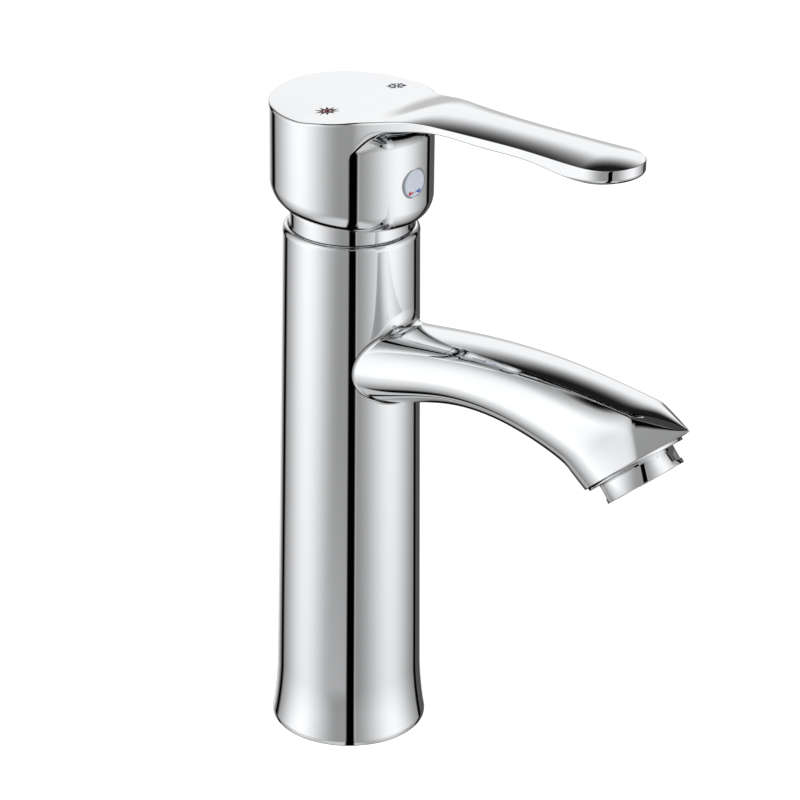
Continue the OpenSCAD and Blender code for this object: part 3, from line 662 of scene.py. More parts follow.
@dataclass
class BodyCasting:
    """The chromed brass body: column with its flared foot, spout and hollow underside."""

    height: float = 169.4
    top_r: float = 21.0
    low_r: float = 22.7
    foot_r: float = 24.6
    flare_h: float = 20.0
    foot_edge: float = 1.2
    groove: tuple[float, float, float] = (20.1, 22.7, 2.0)
    rim_r: float = 2.0
    recess_r: float = 19.12
    recess_h: float = 1.6
    nut_seat: tuple[float, float, float] = (18.5, 17.6, 8.0)
    cavity_r: float = 18.0
    ceiling_z: float = 110.15
    floor_z: float = 140.15
    bush_r: float = 6.25
    bush_top: float = 119.15
    bush_at: tuple[float, float] = (5.0, 9.6)
    boss: tuple[float, float, float, float, float] = (-12.0, 7.0, 5.25, 4.0, 26.0)
    boss_roof: float = 6.0
    root_fillet: tuple[float, float] = (1.7, 4.2)
    lip_r: float = 15.5
    lip_t: float = 0.9
    outlet_edge: float = 0.45
    bore_r: float = 12.05
    bore_depth: float = 9.0
    even_share: float = 0.02
    spout: Spout = field(default_factory=Spout)
    turns: int = 288
    patch_turns: int = 54
    patch_low: float = 100.0
    patch_high: float = 156.0
    spout_rings: int = 150
    fillet_steps: int = 10
    wall_step: float = 1.1
    ceiling_step: float = 3.0

    def radius(self, z: Array) -> Array:
        """Radius of the column at a height.

        Args:
            z: Heights in millimetres.

        Returns:
            The radii there.
        """
        z = np.asarray(z, float)
        slope = (self.low_r - self.top_r) / (self.height - self.rim_r - self.flare_h)
        straight = self.low_r - slope * (z - self.flare_h)
        spread = self.foot_r - (self.low_r + slope * self.flare_h)
        t = np.clip((self.flare_h - z) / self.flare_h, 0, 1)
        return straight + spread * t * t

    def taper(self) -> float:
        """Lean of the column's straight wall, in radians."""
        rise = self.height - self.rim_r - self.flare_h
        return math.atan((self.low_r - self.top_r) / rise)

    def root(self, draft: Draft) -> Array:
        """Adds the spout and the fillet at its root.

        Args:
            draft: The draft to add to.

        Returns:
            Points of the fillet's edge on the column.
        """
        cols = self.spout.columns()
        trial = np.linspace(0.05, 2.4, 240)
        skin = self.spout.sections(np.repeat(trial[:, None], cols, axis=1))
        normal = skin_normals(skin)
        small, large = self.root_fillet
        ball = small + (large - small) * smooth_step(0.74, 0.9, self.spout.height_share())
        centre = skin + ball[None, :, None] * normal
        lean = self.taper()
        gap = np.hypot(centre[..., 0], centre[..., 1]) - self.radius(centre[..., 2]) - ball / math.cos(lean)
        start = np.zeros(cols)
        for j in range(cols):
            k = np.nonzero(gap[:, j] < 0)[0][-1]
            share = -gap[k, j] / (gap[k + 1, j] - gap[k, j])
            start[j] = trial[k] + share * (trial[k + 1] - trial[k])
        rings = np.linspace(0, 1, self.spout_rings + 1)[:, None]
        last = len(self.spout.table)
        u = start[None] + (last - start[None]) * rings
        skin = self.spout.sections(u)
        normal = skin_normals(skin)
        middle = skin[0] + ball[:, None] * normal[0]
        flat = unit(middle * np.array([1, 1, 0]))
        wall = flat * math.cos(lean) + np.array([0, 0, math.sin(lean)])
        steps = np.linspace(0, 1, self.fillet_steps + 1)[:, None, None]
        way = slerp(-normal[0][None], -wall[None], steps)
        arc = middle[None] + ball[None, :, None] * way
        draft.grid(arc, closed=True, normals=-way)
        edge_step = np.linalg.norm(skin[-1] - skin[-2], axis=1)
        self.outlet(draft, skin, normal, edge_step)
        return arc[-1]

    def outlet(self, draft: Draft, skin: Array, normal: Array, edge_step: Array) -> None:
        """Adds the spout's skin and its outlet end, with the lip and the aerator's bore.

        Args:
            draft: The draft to add to.
            skin: The spout's skin, of shape (sections, columns, 3).
            normal: Its normals.
            edge_step: Distance from the last section but one to the last, for each column.
        """
        middle, uphill, flow = self.spout.outlet_axes()
        corner = skin[-1]
        share = np.clip(self.outlet_edge / edge_step, 0, 0.9)[:, None]
        before = corner + (skin[-2] - corner) * share
        flat = corner - middle
        inset = corner - unit(flat) * self.outlet_edge
        draft.grid(np.concatenate([skin[:-1], before[None]]), closed=True, normals=normal)
        t = np.linspace(0, 1, 6)[:, None, None]
        bend = bow(t, before, corner, inset)
        turn = slerp(normal[-1][None], np.broadcast_to(flow, normal[-1].shape)[None], t)
        draft.grid(bend, closed=True, normals=turn)
        # The bore's columns keep a small even share, so that those under the beak stay apart.
        side = np.cross(uphill, flow)
        around = np.unwrap(np.arctan2(flat @ side, flat @ uphill))
        full = math.copysign(2 * math.pi, around[-1] - around[0])
        even = around[0] + full * np.arange(len(flat)) / len(flat)
        around += self.even_share * (even - around)
        about = np.cos(around)[:, None] * uphill + np.sin(around)[:, None] * side
        profile = rounded([
            (self.lip_r, 0, 0),
            (self.lip_r, self.lip_t, 0.25),
            (self.bore_r, self.lip_t, 0.2),
            (self.bore_r, -self.bore_depth, 0.2),
            (0.5 * self.bore_r, -self.bore_depth, 0),
        ])
        place = middle + profile.points[:, :1, None] * about[None] + profile.points[:, 1:, None] * flow
        lean = profile.normals[:, :1, None] * about[None] + profile.normals[:, 1:, None] * flow
        draft.grid(np.stack([inset, place[0]]), closed=True, normals=np.broadcast_to(flow, (2, *inset.shape)))
        draft.grid(place, closed=True, normals=lean)
        draft.fan(place[-1], middle - flow * self.bore_depth)

    def column(self, draft: Draft, hole: Array) -> None:
        """Adds the column round the spout's root.

        Args:
            draft: The draft to add to.
            hole: Points of the fillet's edge on the column.
        """
        angles = circle_angles(self.turns)
        flare = np.linspace(self.foot_edge, self.flare_h + 4, 26)
        rise = np.concatenate([flare, np.linspace(self.flare_h + 8, self.patch_low, 24)])
        side = curve_profile(np.stack([self.radius(rise), rise], axis=1))
        foot = float(self.radius(self.foot_edge))
        inner_r, outer_r, depth = self.groove
        under = rounded([
            (self.cavity_r, self.ceiling_z, 0),
            (self.cavity_r, 0, 0.4),
            (inner_r, 0, 0.1),
            (inner_r, depth, 0.05),
            (outer_r, depth, 0.05),
            (outer_r, 0, 0.1),
            (foot - 0.1, 0, 1.0),
            (foot, self.foot_edge, 0),
        ])
        (under + Profile(side.points[1:], side.normals[1:])).spin(draft, angles)
        levels = np.linspace(self.patch_low, self.patch_high, 29)
        back = angles[self.patch_turns : self.turns - self.patch_turns + 1]
        lean = self.taper()

        def wall(theta: Array, z: Array) -> tuple[Array, Array]:
            """Points of the column's wall at some angles and heights, and their normals.

            Args:
                theta: Angles round the column.
                z: Heights.

            Returns:
                The points and the normals.
            """
            r = self.radius(z)
            flat = np.stack([np.cos(theta), np.sin(theta), 0 * theta], axis=-1)
            up = np.zeros_like(flat)
            up[..., 2] = 1
            return flat * r[..., None] + up * z[..., None], flat * math.cos(lean) + up * math.sin(lean)

        points, normals = wall(*np.broadcast_arrays(back[None], levels[:, None]))
        draft.grid(points, normals=normals)
        edge_a = angles[self.patch_turns]
        front = np.linspace(-edge_a, edge_a, 2 * self.patch_turns + 1)
        loop = np.concatenate([
            np.stack([front, np.full(len(front), levels[0])], axis=1)[:-1],
            np.stack([np.full(len(levels), edge_a), levels], axis=1)[:-1],
            np.stack([front[::-1], np.full(len(front), levels[-1])], axis=1)[:-1],
            np.stack([np.full(len(levels), -edge_a), levels[::-1]], axis=1)[:-1],
        ])
        scale = self.low_r
        inner = np.stack([np.arctan2(hole[:, 1], hole[:, 0]), hole[:, 2]], axis=1)
        flat_loop, flat_hole = loop * [scale, 1], inner * [scale, 1]
        # The lattice starts inside the border, so that none of its points splits a border edge.
        fill = hex_points(flat_loop.min(0) + 0.5, flat_loop.max(0) - 0.5, self.wall_step)
        edges = [wall(loop[:, 0], loop[:, 1])[0], hole]
        draft.patch(
            [flat_loop, flat_hole], (0.7, 0.6), fill, lambda p: wall(p[:, 0] / scale, p[:, 1]), edges
        )
        rise = np.linspace(self.patch_high, self.height - self.rim_r, 8)
        side = curve_profile(np.stack([self.radius(rise), rise], axis=1))
        a = np.linspace(0, math.pi / 2, 11)[1:]
        top = self.height - self.rim_r
        bend = Profile(
            np.stack([self.top_r - self.rim_r * (1 - np.cos(a)), top + self.rim_r * np.sin(a)], axis=1),
            circle(a),
        )
        seat_r, chamber_r, seat_h = self.nut_seat
        inner_wall = rounded([
            (self.recess_r + 0.1, self.height - 0.02, 0),
            (self.recess_r, self.height - self.recess_h, 0.1),
            (seat_r, self.height - self.recess_h, 0.05),
            (seat_r, self.height - seat_h, 0.1),
            (chamber_r, self.height - seat_h, 0.1),
            (chamber_r, self.floor_z, 0.2),
            (1.0, self.floor_z, 0),
        ])
        upper = side + bend + inner_wall
        # The bend's last point sits just outside the recess, a hair below the rim.
        upper.points[len(side.points) + len(bend.points) - 1] = [self.recess_r + 0.35, self.height - 0.03]
        upper.spin(draft, angles)
        draft.fan(upper.ring(-1, angles), np.array([0, 0, self.floor_z]))

    def ceiling(self, draft: Draft) -> None:
        """Adds the hollow's ceiling with the two holes of the inlet bushes.

        Args:
            draft: The draft to add to.
        """
        angles = circle_angles(self.turns)
        outer = circle(angles, self.cavity_r)
        turn = circle_angles(64)
        holes = []
        for side in (-1, 1):
            middle = np.array([self.bush_at[0], side * self.bush_at[1]])
            ring = middle + circle(turn, self.bush_r)
            holes.append(ring)
            low, high = at_height(ring, self.ceiling_z), at_height(ring, self.bush_top)
            draft.grid(np.stack([low, high]), closed=True)
            draft.fan(high, np.array([*middle, self.bush_top]))
        fill = hex_points([-self.cavity_r] * 2, [self.cavity_r] * 2, self.ceiling_step)
        flat = [outer, *holes]
        edges = [at_height(loop, self.ceiling_z) for loop in flat]
        draft.patch(flat, (1.5, 1.0, 1.0), fill, lambda p: (at_height(p, self.ceiling_z), None), edges)

    def stud_boss(self, draft: Draft) -> None:
        """Adds the boss that holds the fixing stud's bush.

        Args:
            draft: The draft to add to.
        """
        x, outer, inner, low, high = self.boss
        roof = high - self.boss_roof
        profile = rounded([
            (0.5, roof, 0),
            (inner, roof, 0.2),
            (inner, low, 0.3),
            (outer, low, 0.4),
            (outer, high, 0.6),
            (0.5, high, 0),
        ])
        part = Draft()
        angles = circle_angles(72)
        profile.spin(part, angles)
        part.fan(profile.ring(0, angles), np.array([0, 0, roof]))
        part.fan(profile.ring(-1, angles), np.array([0, 0, high]))
        for points, normals in zip(part.points, part.normals):
            draft.points.append(points + [x, 0, 0])
            draft.normals.append(normals)
        draft.faces += [tuple(i + draft.count for i in f) for f in part.faces]
        draft.count += part.count

    def build(self) -> bpy.types.Object:
        """Builds the casting as one closed mesh.

        Returns:
            The object, not yet riding on a body.
        """
        draft = Draft()
        hole = self.root(draft)
        self.column(draft, hole)
        self.ceiling(draft)
        self.stud_boss(draft)
        return place_mesh(draft.mesh("body_casting"))


def place_mesh(mesh: Mesh) -> bpy.types.Object:
    """Puts a mesh in the scene as an object of the same name at the origin.

    Args:
        mesh: The mesh, in metres.

    Returns:
        The new object.
    """
    obj = bpy.data.objects.new(mesh.name, mesh)
    bpy.context.scene.collection.objects.link(obj)
    return obj


# -------- handle casting


@dataclass
class HandleCasting:
    """The chromed cap with its long lever, cast in one."""

    cap_r: float = 25.0
    top_z: float = 209.2
    rim: float = 0.9
    edge: float = 0.5
    under_edge: float = 0.45
    neck_edge: float = 14.0
    tip_edge: float = 1.7
    edge_z: float = 177.0
    edge_tilt: float = math.radians(7.1)
    mouth_r: float = 21.1
    round_h: float = 6.0
    lip_in: float = 1.0
    inner_r: float = 22.4
    roof_z: float = 203.2
    post_r: float = 6.7
    post_z: float = 184.5
    reach: float = 107.6
    tip_l: float = 12.0
    lift: float = 5.6
    waist: float = 10.3
    band: float = 4.8
    crown: float = 1.8
    belly: float = 0.14
    under_fillet: float = 5.5
    leave: float = math.radians(50)
    merge_x: float = 41.0
    blend_pull: float = 5.0
    dome: float = 0.65
    knots: tuple[float, ...] = (0.00, 0.08, 0.15, 0.22, 0.28, 0.38, 0.54, 0.70, 0.86, 1.00)
    lifts: tuple[float, ...] = (0.02, 0.17, 0.27, 0.49, 0.73, 0.86, 0.95, 1.06, 1.14, 1.29)
    waists: tuple[float, ...] = (2.30, 2.05, 1.80, 1.44, 1.27, 1.14, 1.03, 1.00, 1.06, 1.06)
    bands: tuple[float, ...] = (1.30, 1.20, 1.04, 0.80, 0.72, 0.45, 0.53, 0.57, 0.86, 0.78)
    crowns: tuple[float, ...] = (0.00, 0.00, 0.05, 0.25, 0.55, 0.90, 1.05, 1.00, 1.00, 0.95)
    rise_run: tuple[float, float] = (-12.0, 10.0)
    crown_run: tuple[float, float] = (8.0, 22.0)
    neck_run: tuple[float, float] = (16.0, 32.0)
    tip_run: tuple[float, float] = (86.0, 100.0)
    turns: int = 240
    lever_points: int = 150
    mesh_step: float = 1.15
    mesh_gap: float = 0.55
    half_box: float = 26.0

    def row(self, values: Sequence[float], x: Array) -> Array:
        """A smooth value along the lever.

        Args:
            values: One value for each knot.
            x: Distances from the cap's axis.

        Returns:
            The values at x.
        """
        return spline(np.array(self.knots) * self.reach, np.array(values), x)

    def level(self, x: Array) -> Array:
        """Height of the lever's upper edge.

        Args:
            x: Distances forward of the axis.

        Returns:
            The heights there.
        """
        x = np.asarray(x, float)
        rise = self.row(self.lifts, np.maximum(x, 0)) * self.lift
        return self.top_z + rise * smooth_step(*self.rise_run, x)

    def half_width(self, x: Array) -> Array:
        """Half width of the lever, leaving out its round tip."""
        return self.row(self.waists, np.maximum(np.asarray(x, float), 0)) * self.waist

    def tip_share2(self, x: Array) -> Array:
        """Square of the width's share in the round tip."""
        left = np.clip((self.reach - np.asarray(x, float)) / self.tip_l, 0, 1)
        return 1 - (1 - left) ** 2

    def top(self, p: Array) -> Array:
        """Height of the upper surface over plane points.

        Args:
            p: The plane points.

        Returns:
            The heights there.
        """
        x, y = p[..., 0], p[..., 1]
        bulge = self.tip_share2(x) - (y / self.half_width(x)) ** 2
        crown = self.row(self.crowns, np.maximum(x, 0)) * self.crown
        lever = smooth_step(*self.crown_run, x)
        fall = self.dome * (y / self.cap_r) ** 2 * (1 - lever)
        return self.level(x) + crown * lever * bulge - fall

    def bottom(self, p: Array) -> Array:
        """Height of the lever's underside over plane points, leaving out its fillet.

        Args:
            p: The plane points.

        Returns:
            The heights there.
        """
        x, y = p[..., 0], p[..., 1]
        w = self.half_width(x)
        bulge = self.tip_share2(x) - (y / w) ** 2
        band = self.row(self.bands, np.maximum(x, 0)) * self.band
        return self.level(x) - band - self.belly * w * bulge

    def slope_normal(self, height: Callable[[Array], Array], p: Array) -> Array:
        """Upward normal of a height field at plane points.

        Args:
            height: Gives the height over plane points.
            p: The plane points.

        Returns:
            One unit normal for each point.
        """
        h = 0.05
        dx = (height(p + [h, 0]) - height(p - [h, 0])) / (2 * h)
        dy = (height(p + [0, h]) - height(p - [0, h])) / (2 * h)
        return unit(np.stack([-dx, -dy, np.ones_like(dx)], axis=-1))

    def under(self, p: Array) -> tuple[Array, Array]:
        """The lever's underside with its fillet to the cap.

        Args:
            p: Plane points of shape (n, 2).

        Returns:
            Points in space and their downward normals.
        """
        f = self.under_fillet
        radius = np.hypot(p[:, 0], p[:, 1])
        inward = np.clip((self.cap_r + f - radius) / f, 0, 1)
        z = self.bottom(p) - f * (1 - np.sqrt(1 - inward**2))
        down = -self.slope_normal(self.bottom, p)
        radial = at_height(p / radius[:, None], 0.0)
        normal = unit(radial * inward[:, None] + down * np.sqrt(1 - inward**2)[:, None])
        return at_height(p, z), normal

    def outline(self) -> tuple[Array, int]:
        """The handle's plan outline from the back of the cap round its cold side.

        Returns:
            Points of the half outline up to the lever's tip, and the index at which it leaves the cap.
        """
        start = circle(self.leave, self.cap_r)
        go = np.array([math.sin(self.leave), -math.cos(self.leave)])
        end = np.array([self.merge_x, float(self.half_width(self.merge_x))])
        slope = float(self.half_width(self.merge_x + 0.1) - self.half_width(self.merge_x - 0.1)) / 0.2
        come = unit(np.array([1.0, slope]))
        t = np.linspace(0, 1, 200)[:, None]
        a, b = start + go * self.blend_pull, end - come * self.blend_pull
        blend = (1 - t) ** 3 * start + 3 * t * (1 - t) ** 2 * a + 3 * t * t * (1 - t) * b + t**3 * end
        x = np.linspace(self.merge_x, self.reach - self.tip_l, 200)
        side = np.stack([x, self.half_width(x)], axis=1)
        turn = np.linspace(0, math.pi / 2, 120)
        x = self.reach - self.tip_l * (1 - np.sin(turn))
        tip = np.stack([x, self.half_width(x) * np.cos(turn)], axis=1)
        free = spaced(np.vstack([blend[:-1], side[:-1], tip]), self.lever_points)
        steps = int(self.turns * (math.pi - self.leave) / (2 * math.pi))
        arc = circle(np.linspace(math.pi, self.leave, steps + 1), self.cap_r)
        return np.vstack([arc[:-1], free]), steps

    def build(self) -> bpy.types.Object:
        """Builds the casting as one closed mesh.

        Returns:
            The object, not yet riding on a body.
        """
        draft = Draft()
        half, leave = self.outline()
        n = len(half)
        mirror = half[-2:0:-1] * [1, -1]
        loop = np.vstack([half, mirror])
        total = len(loop)
        ahead = unit(np.roll(loop, -1, axis=0) - np.roll(loop, 1, axis=0))
        out = np.stack([-ahead[:, 1], ahead[:, 0]], axis=1)
        out *= np.where(np.sum(out * (loop - [20, 0] * (loop[:, :1] > 20)), axis=1, keepdims=True) < 0, -1, 1)
        index = np.arange(total)
        from_leave = np.where(index < n, index - leave, total - index - leave)
        along = np.clip(from_leave / (0.25 * self.lever_points), 0, 1)
        edge = self.rim + (self.edge - self.rim) * smooth_step(0, 1, along)
        lean = self.slope_normal(self.top, loop - out * edge[:, None])
        tilt = np.sum(lean[:, :2] * out, axis=1)
        inner = loop - out * (edge * (1 - tilt))[:, None]
        start = at_height(inner, self.top(inner))
        first = self.slope_normal(self.top, inner)
        wall = at_height(out, 0.0)
        steps = np.linspace(0, 1, 7)[:, None, None]
        way = slerp(first[None], wall[None], steps)
        centre = start - edge[:, None] * first
        rim = centre[None] + edge[None, :, None] * way
        draft.grid(rim, closed=True, normals=way)
        fill = hex_points([-self.half_box] * 2, [self.reach + 1.4, self.half_box], self.mesh_step)
        draft.patch(
            [inner],
            (self.mesh_gap,),
            fill,
            lambda p: (at_height(p, self.top(p)), self.slope_normal(self.top, p)),
            [start],
        )
        low, free = self.lever_under(draft, loop, out, leave)
        below = rim[-1].copy()
        levels = np.linspace(0, 1, 9)[:, None, None]
        side = below[None] * (1 - levels) + low[None] * levels
        side[..., :2] = low[None, :, :2]
        side[0] = below
        draft.grid(side, closed=True, normals=np.broadcast_to(wall, side.shape))
        self.cap_wall(draft, low, free, leave)
        return place_mesh(draft.mesh("handle_casting"))

    def lever_under(self, draft: Draft, loop: Array, out: Array, leave: int) -> tuple[Array, Array]:
        """Adds the lever's underside.

        Args:
            draft: The draft to add to.
            loop: The plan outline.
            out: Its outward normals.
            leave: Index at which the outline leaves the cap on its first side.

        Returns:
            The lower edge of the side wall all round, and the fillet's edge on the cap's front.
        """
        total = len(loop)
        other = total - leave
        part = np.arange(leave, other + 1)
        plan, away = loop[part], out[part]
        clear = np.hypot(plan[:, 0], plan[:, 1]) - self.cap_r
        past_neck = smooth_step(*self.neck_run, plan[:, 0])
        soft = self.neck_edge * (self.under_edge / self.neck_edge) ** past_neck
        soft += (self.tip_edge - self.under_edge) * smooth_step(*self.tip_run, plan[:, 0])
        shift = np.zeros(len(part))
        for _ in range(60):
            _, normal = self.under(plan - away * shift[:, None])
            tilt = np.sum(normal[:, :2] * away, axis=1)
            lean = np.arccos(np.clip(tilt / np.hypot(tilt, normal[:, 2]), -1, 1))
            wanted = np.minimum(soft * (1 - np.cos(lean)), 0.9 * np.maximum(clear, 0))
            shift += 0.4 * (wanted - shift)
        inner = plan - away * shift[:, None]
        start, first = self.under(inner)
        wall = at_height(away, 0.0)
        steps = np.linspace(0, 1, 10)[:, None]
        way = slerp(first[None], wall[None], steps[..., None])
        turn = lean * (1 - steps)
        inset = shift * (1 - np.cos(turn)) / np.maximum(1 - np.cos(lean), 1e-6)
        arc = np.empty((len(steps), len(part), 3))
        arc[..., :2] = plan - away * inset[..., None]
        climb = np.minimum(soft * np.sin(lean), 0.85 * (self.top(plan) - self.rim - start[:, 2]))
        arc[..., 2] = start[:, 2] + climb * (1 - np.sin(turn) / np.maximum(np.sin(lean), 1e-6))
        arc[0] = start
        arc[:, 0], arc[:, -1] = start[0], start[-1]
        draft.grid(arc, normals=way)
        on_cap, _ = self.under(circle(np.linspace(-self.leave, self.leave, 101), self.cap_r))
        on_cap[0], on_cap[-1] = start[-1], start[0]
        cap_side = on_cap[:, :2]
        border = np.vstack([inner, cap_side[1:-1]])
        f = self.under_fillet
        fill = hex_points([self.cap_r, -self.half_box], [self.reach + 1.4, self.half_box], self.mesh_step)
        fill = [fill[np.hypot(fill[:, 0], fill[:, 1]) > self.cap_r + f + 0.4]]
        for a in np.linspace(0, math.pi / 2, 9)[1:]:
            arc_at = np.arange(-self.leave, self.leave, 1.0 / self.cap_r)
            fill.append(circle(arc_at, self.cap_r + f * (1 - math.cos(a))))
        fill = np.vstack(fill)
        fill = fill[(gap_to(inner, fill) > self.mesh_gap) & (gap_to(cap_side, fill) > 0.05)]
        draft.patch([border], (0.0,), fill, self.under, [np.vstack([start, on_cap[1:-1]])])
        low = at_height(loop, 0.0)
        low[part] = arc[-1]
        low[:leave, 2] = low[leave, 2]
        low[other + 1 :, 2] = low[other, 2]
        return low, on_cap

    def cap_wall(self, draft: Draft, low: Array, free: Array, leave: int) -> None:
        """Adds the cap's lower wall, its rounded edge and its hollow.

        Args:
            draft: The draft to add to.
            low: The lower edge of the side wall all round.
            free: The fillet's edge on the cap's front.
            leave: Index at which the outline leaves the cap on its first side.
        """
        total = len(low)
        ring = np.vstack([low[: leave + 1], free[1:-1][::-1], low[total - leave :]])
        outer = circle(np.arctan2(ring[:, 1], ring[:, 0]))
        edge_z = self.edge_z - self.cap_r * outer[:, 0] * math.tan(self.edge_tilt)
        bottom = edge_z + self.round_h
        levels = np.linspace(0, 1, 16)[:, None]
        side = np.empty((16, len(ring), 3))
        side[..., 0], side[..., 1] = ring[:, 0], ring[:, 1]
        side[..., 2] = ring[:, 2] * (1 - levels) + bottom * levels
        wall = at_height(outer, 0.0)
        draft.grid(side, closed=True, normals=np.broadcast_to(wall, side.shape))
        a = np.linspace(0, math.pi / 2, 15)
        span = self.cap_r - self.mouth_r
        r = self.mouth_r + span * np.cos(a)
        drop = self.round_h * np.sin(a)
        nr, nz = np.cos(a) / span, -np.sin(a) / self.round_h
        length = np.hypot(nr, nz)
        rest = rounded([
            (self.mouth_r, -self.round_h, 0),
            (self.mouth_r - self.lip_in, -self.round_h, 0.45),
            (self.inner_r, -self.round_h + 6.5, 0.3),
            (self.inner_r, -self.round_h + 12, 0),
        ], steps=4)
        curve = Profile(np.stack([r, -drop], axis=1), np.stack([nr / length, nz / length], axis=1)) + rest
        shift = (curve.points[:, :1] - self.cap_r) * outer[:, 0][None] * -math.tan(self.edge_tilt)
        points, normals = curve.swept(outer)
        points[..., 2] = bottom[None] + curve.points[:, 1:] + shift
        draft.grid(points, closed=True, normals=normals)
        roof = rounded([
            (self.inner_r, self.roof_z - 10, 0),
            (self.inner_r, self.roof_z, 1.0),
            (self.post_r, self.roof_z, 0.8),
            (self.post_r, self.post_z, 0.5),
            (0.5, self.post_z, 0),
        ], steps=4)
        above, lean = roof.swept(outer)
        draft.grid(np.stack([points[-1], above[0]]), closed=True, normals=np.stack([-wall, -wall]))
        draft.grid(above, closed=True, normals=lean)
        draft.fan(above[-1], np.array([0, 0, self.post_z]))


# -------- node trees


def linear(colour: str | float) -> tuple[float, ...]:
    """Turns an sRGB colour into linear RGBA.

    Args:
        colour: A hex colour such as ``#D8DADC``, or a grey from 0 to 255.

    Returns:
        Red, green, blue and full alpha.
    """
    parts = [int(colour[k : k + 2], 16) for k in (1, 3, 5)] if isinstance(colour, str) else [colour] * 3
    shares = [c / 255 for c in parts]
    return (*(c / 12.92 if c <= 0.04045 else ((c + 0.055) / 1.055) ** 2.4 for c in shares), 1.0)


def blank_tree(owner: Material | World) -> NodeTree:
    """Turns on a material's or a world's nodes and empties them.

    Args:
        owner: The material or world.

    Returns:
        Its node tree.
    """
    owner.use_nodes = True
    owner.node_tree.nodes.clear()
    return owner.node_tree


def add_node(
    tree: NodeTree,
    kind: str,
    settings: dict[str, object] | None = None,
    inputs: dict[str | int, object] | None = None,
) -> Node:
    """Adds a node to a shader or geometry tree.

    Args:
        tree: The tree to add to.
        kind: Blender's identifier of the node.
        settings: Properties to set on the node.
        inputs: Values or output sockets, by input name or index.

    Returns:
        The node.
    """
    node = tree.nodes.new(kind)
    for name, value in (settings or {}).items():
        setattr(node, name, value)
    for name, value in (inputs or {}).items():
        socket = node.inputs[name]
        if isinstance(value, NodeSocket):
            tree.links.new(value, socket)
        else:
            socket.default_value = value
    return node


class Gloss(Enum):
    """How a surface was finished, as its lowest and highest roughness."""

    MIRROR = (0.012, 0.035)
    POLISHED = (0.10, 0.16)
    SATIN = (0.26, 0.36)
    MOULDED = (0.38, 0.50)
    MATT = (0.62, 0.78)


@dataclass(frozen=True)
class Finish:
    """A real finish, as a node-built material.

    The colour drifts between two near shades, the roughness between the two limits of its
    gloss, and a fine bump gives the surface its grain.
    """

    name: str
    shade: str
    shade_two: str
    gloss: Gloss
    metallic: float = 0.0
    ior: float | None = None
    drift_mm: float = 12.0
    grain_mm: float = 0.6
    bump_mm: float = 0.0
    coat: float = 0.0
    turned_mm: float = 0.0

    def colour(self, tree: NodeTree, place: Node) -> NodeSocket:
        """The surface's colour, drifting slowly between its two shades.

        Args:
            tree: The material's tree.
            place: Node that gives the Object coordinates.

        Returns:
            The socket of the colour.
        """
        noise = add_node(tree, "ShaderNodeTexNoise", inputs={
            "Vector": place.outputs["Object"], "Scale": 1 / (self.drift_mm * MM), "Detail": 3.0,
        })
        mix = add_node(tree, "ShaderNodeMix", {"data_type": "RGBA"}, {
            0: noise.outputs[0], 6: linear(self.shade), 7: linear(self.shade_two),
        })
        return mix.outputs[2]

    def build(self) -> Material:
        """Builds the material.

        Returns:
            The finished material.
        """
        material = bpy.data.materials.new(self.name)
        tree = blank_tree(material)
        place = add_node(tree, "ShaderNodeTexCoord")
        fine = add_node(tree, "ShaderNodeTexNoise", inputs={
            "Vector": place.outputs["Object"], "Scale": 1 / (self.grain_mm * MM), "Detail": 4.0,
        })
        low, high = self.gloss.value
        values = {"Value": fine.outputs[0], "To Min": low, "To Max": high}
        spread = add_node(tree, "ShaderNodeMapRange", inputs=values)
        look = {"Base Color": self.colour(tree, place), "Roughness": spread.outputs[0]}
        look["Metallic"] = self.metallic
        if self.ior is not None:
            look["IOR"] = self.ior
        if self.coat:
            look |= {"Coat Weight": self.coat, "Coat Roughness": 0.05}
        height = fine.outputs[0]
        if self.turned_mm:
            height = add_node(tree, "ShaderNodeTexWave", {"wave_type": "BANDS", "bands_direction": "Z"}, {
                "Vector": place.outputs["Object"], "Scale": 0.314 / (self.turned_mm * MM),
                "Distortion": 0.4,
            }).outputs[1]
        if self.bump_mm:
            values = {"Height": height, "Strength": 1.0, "Distance": self.bump_mm * MM}
            look["Normal"] = add_node(tree, "ShaderNodeBump", inputs=values).outputs[0]
        shader = add_node(tree, "ShaderNodeBsdfPrincipled", inputs=look)
        add_node(tree, "ShaderNodeOutputMaterial", inputs={"Surface": shader.outputs["BSDF"]})
        return material


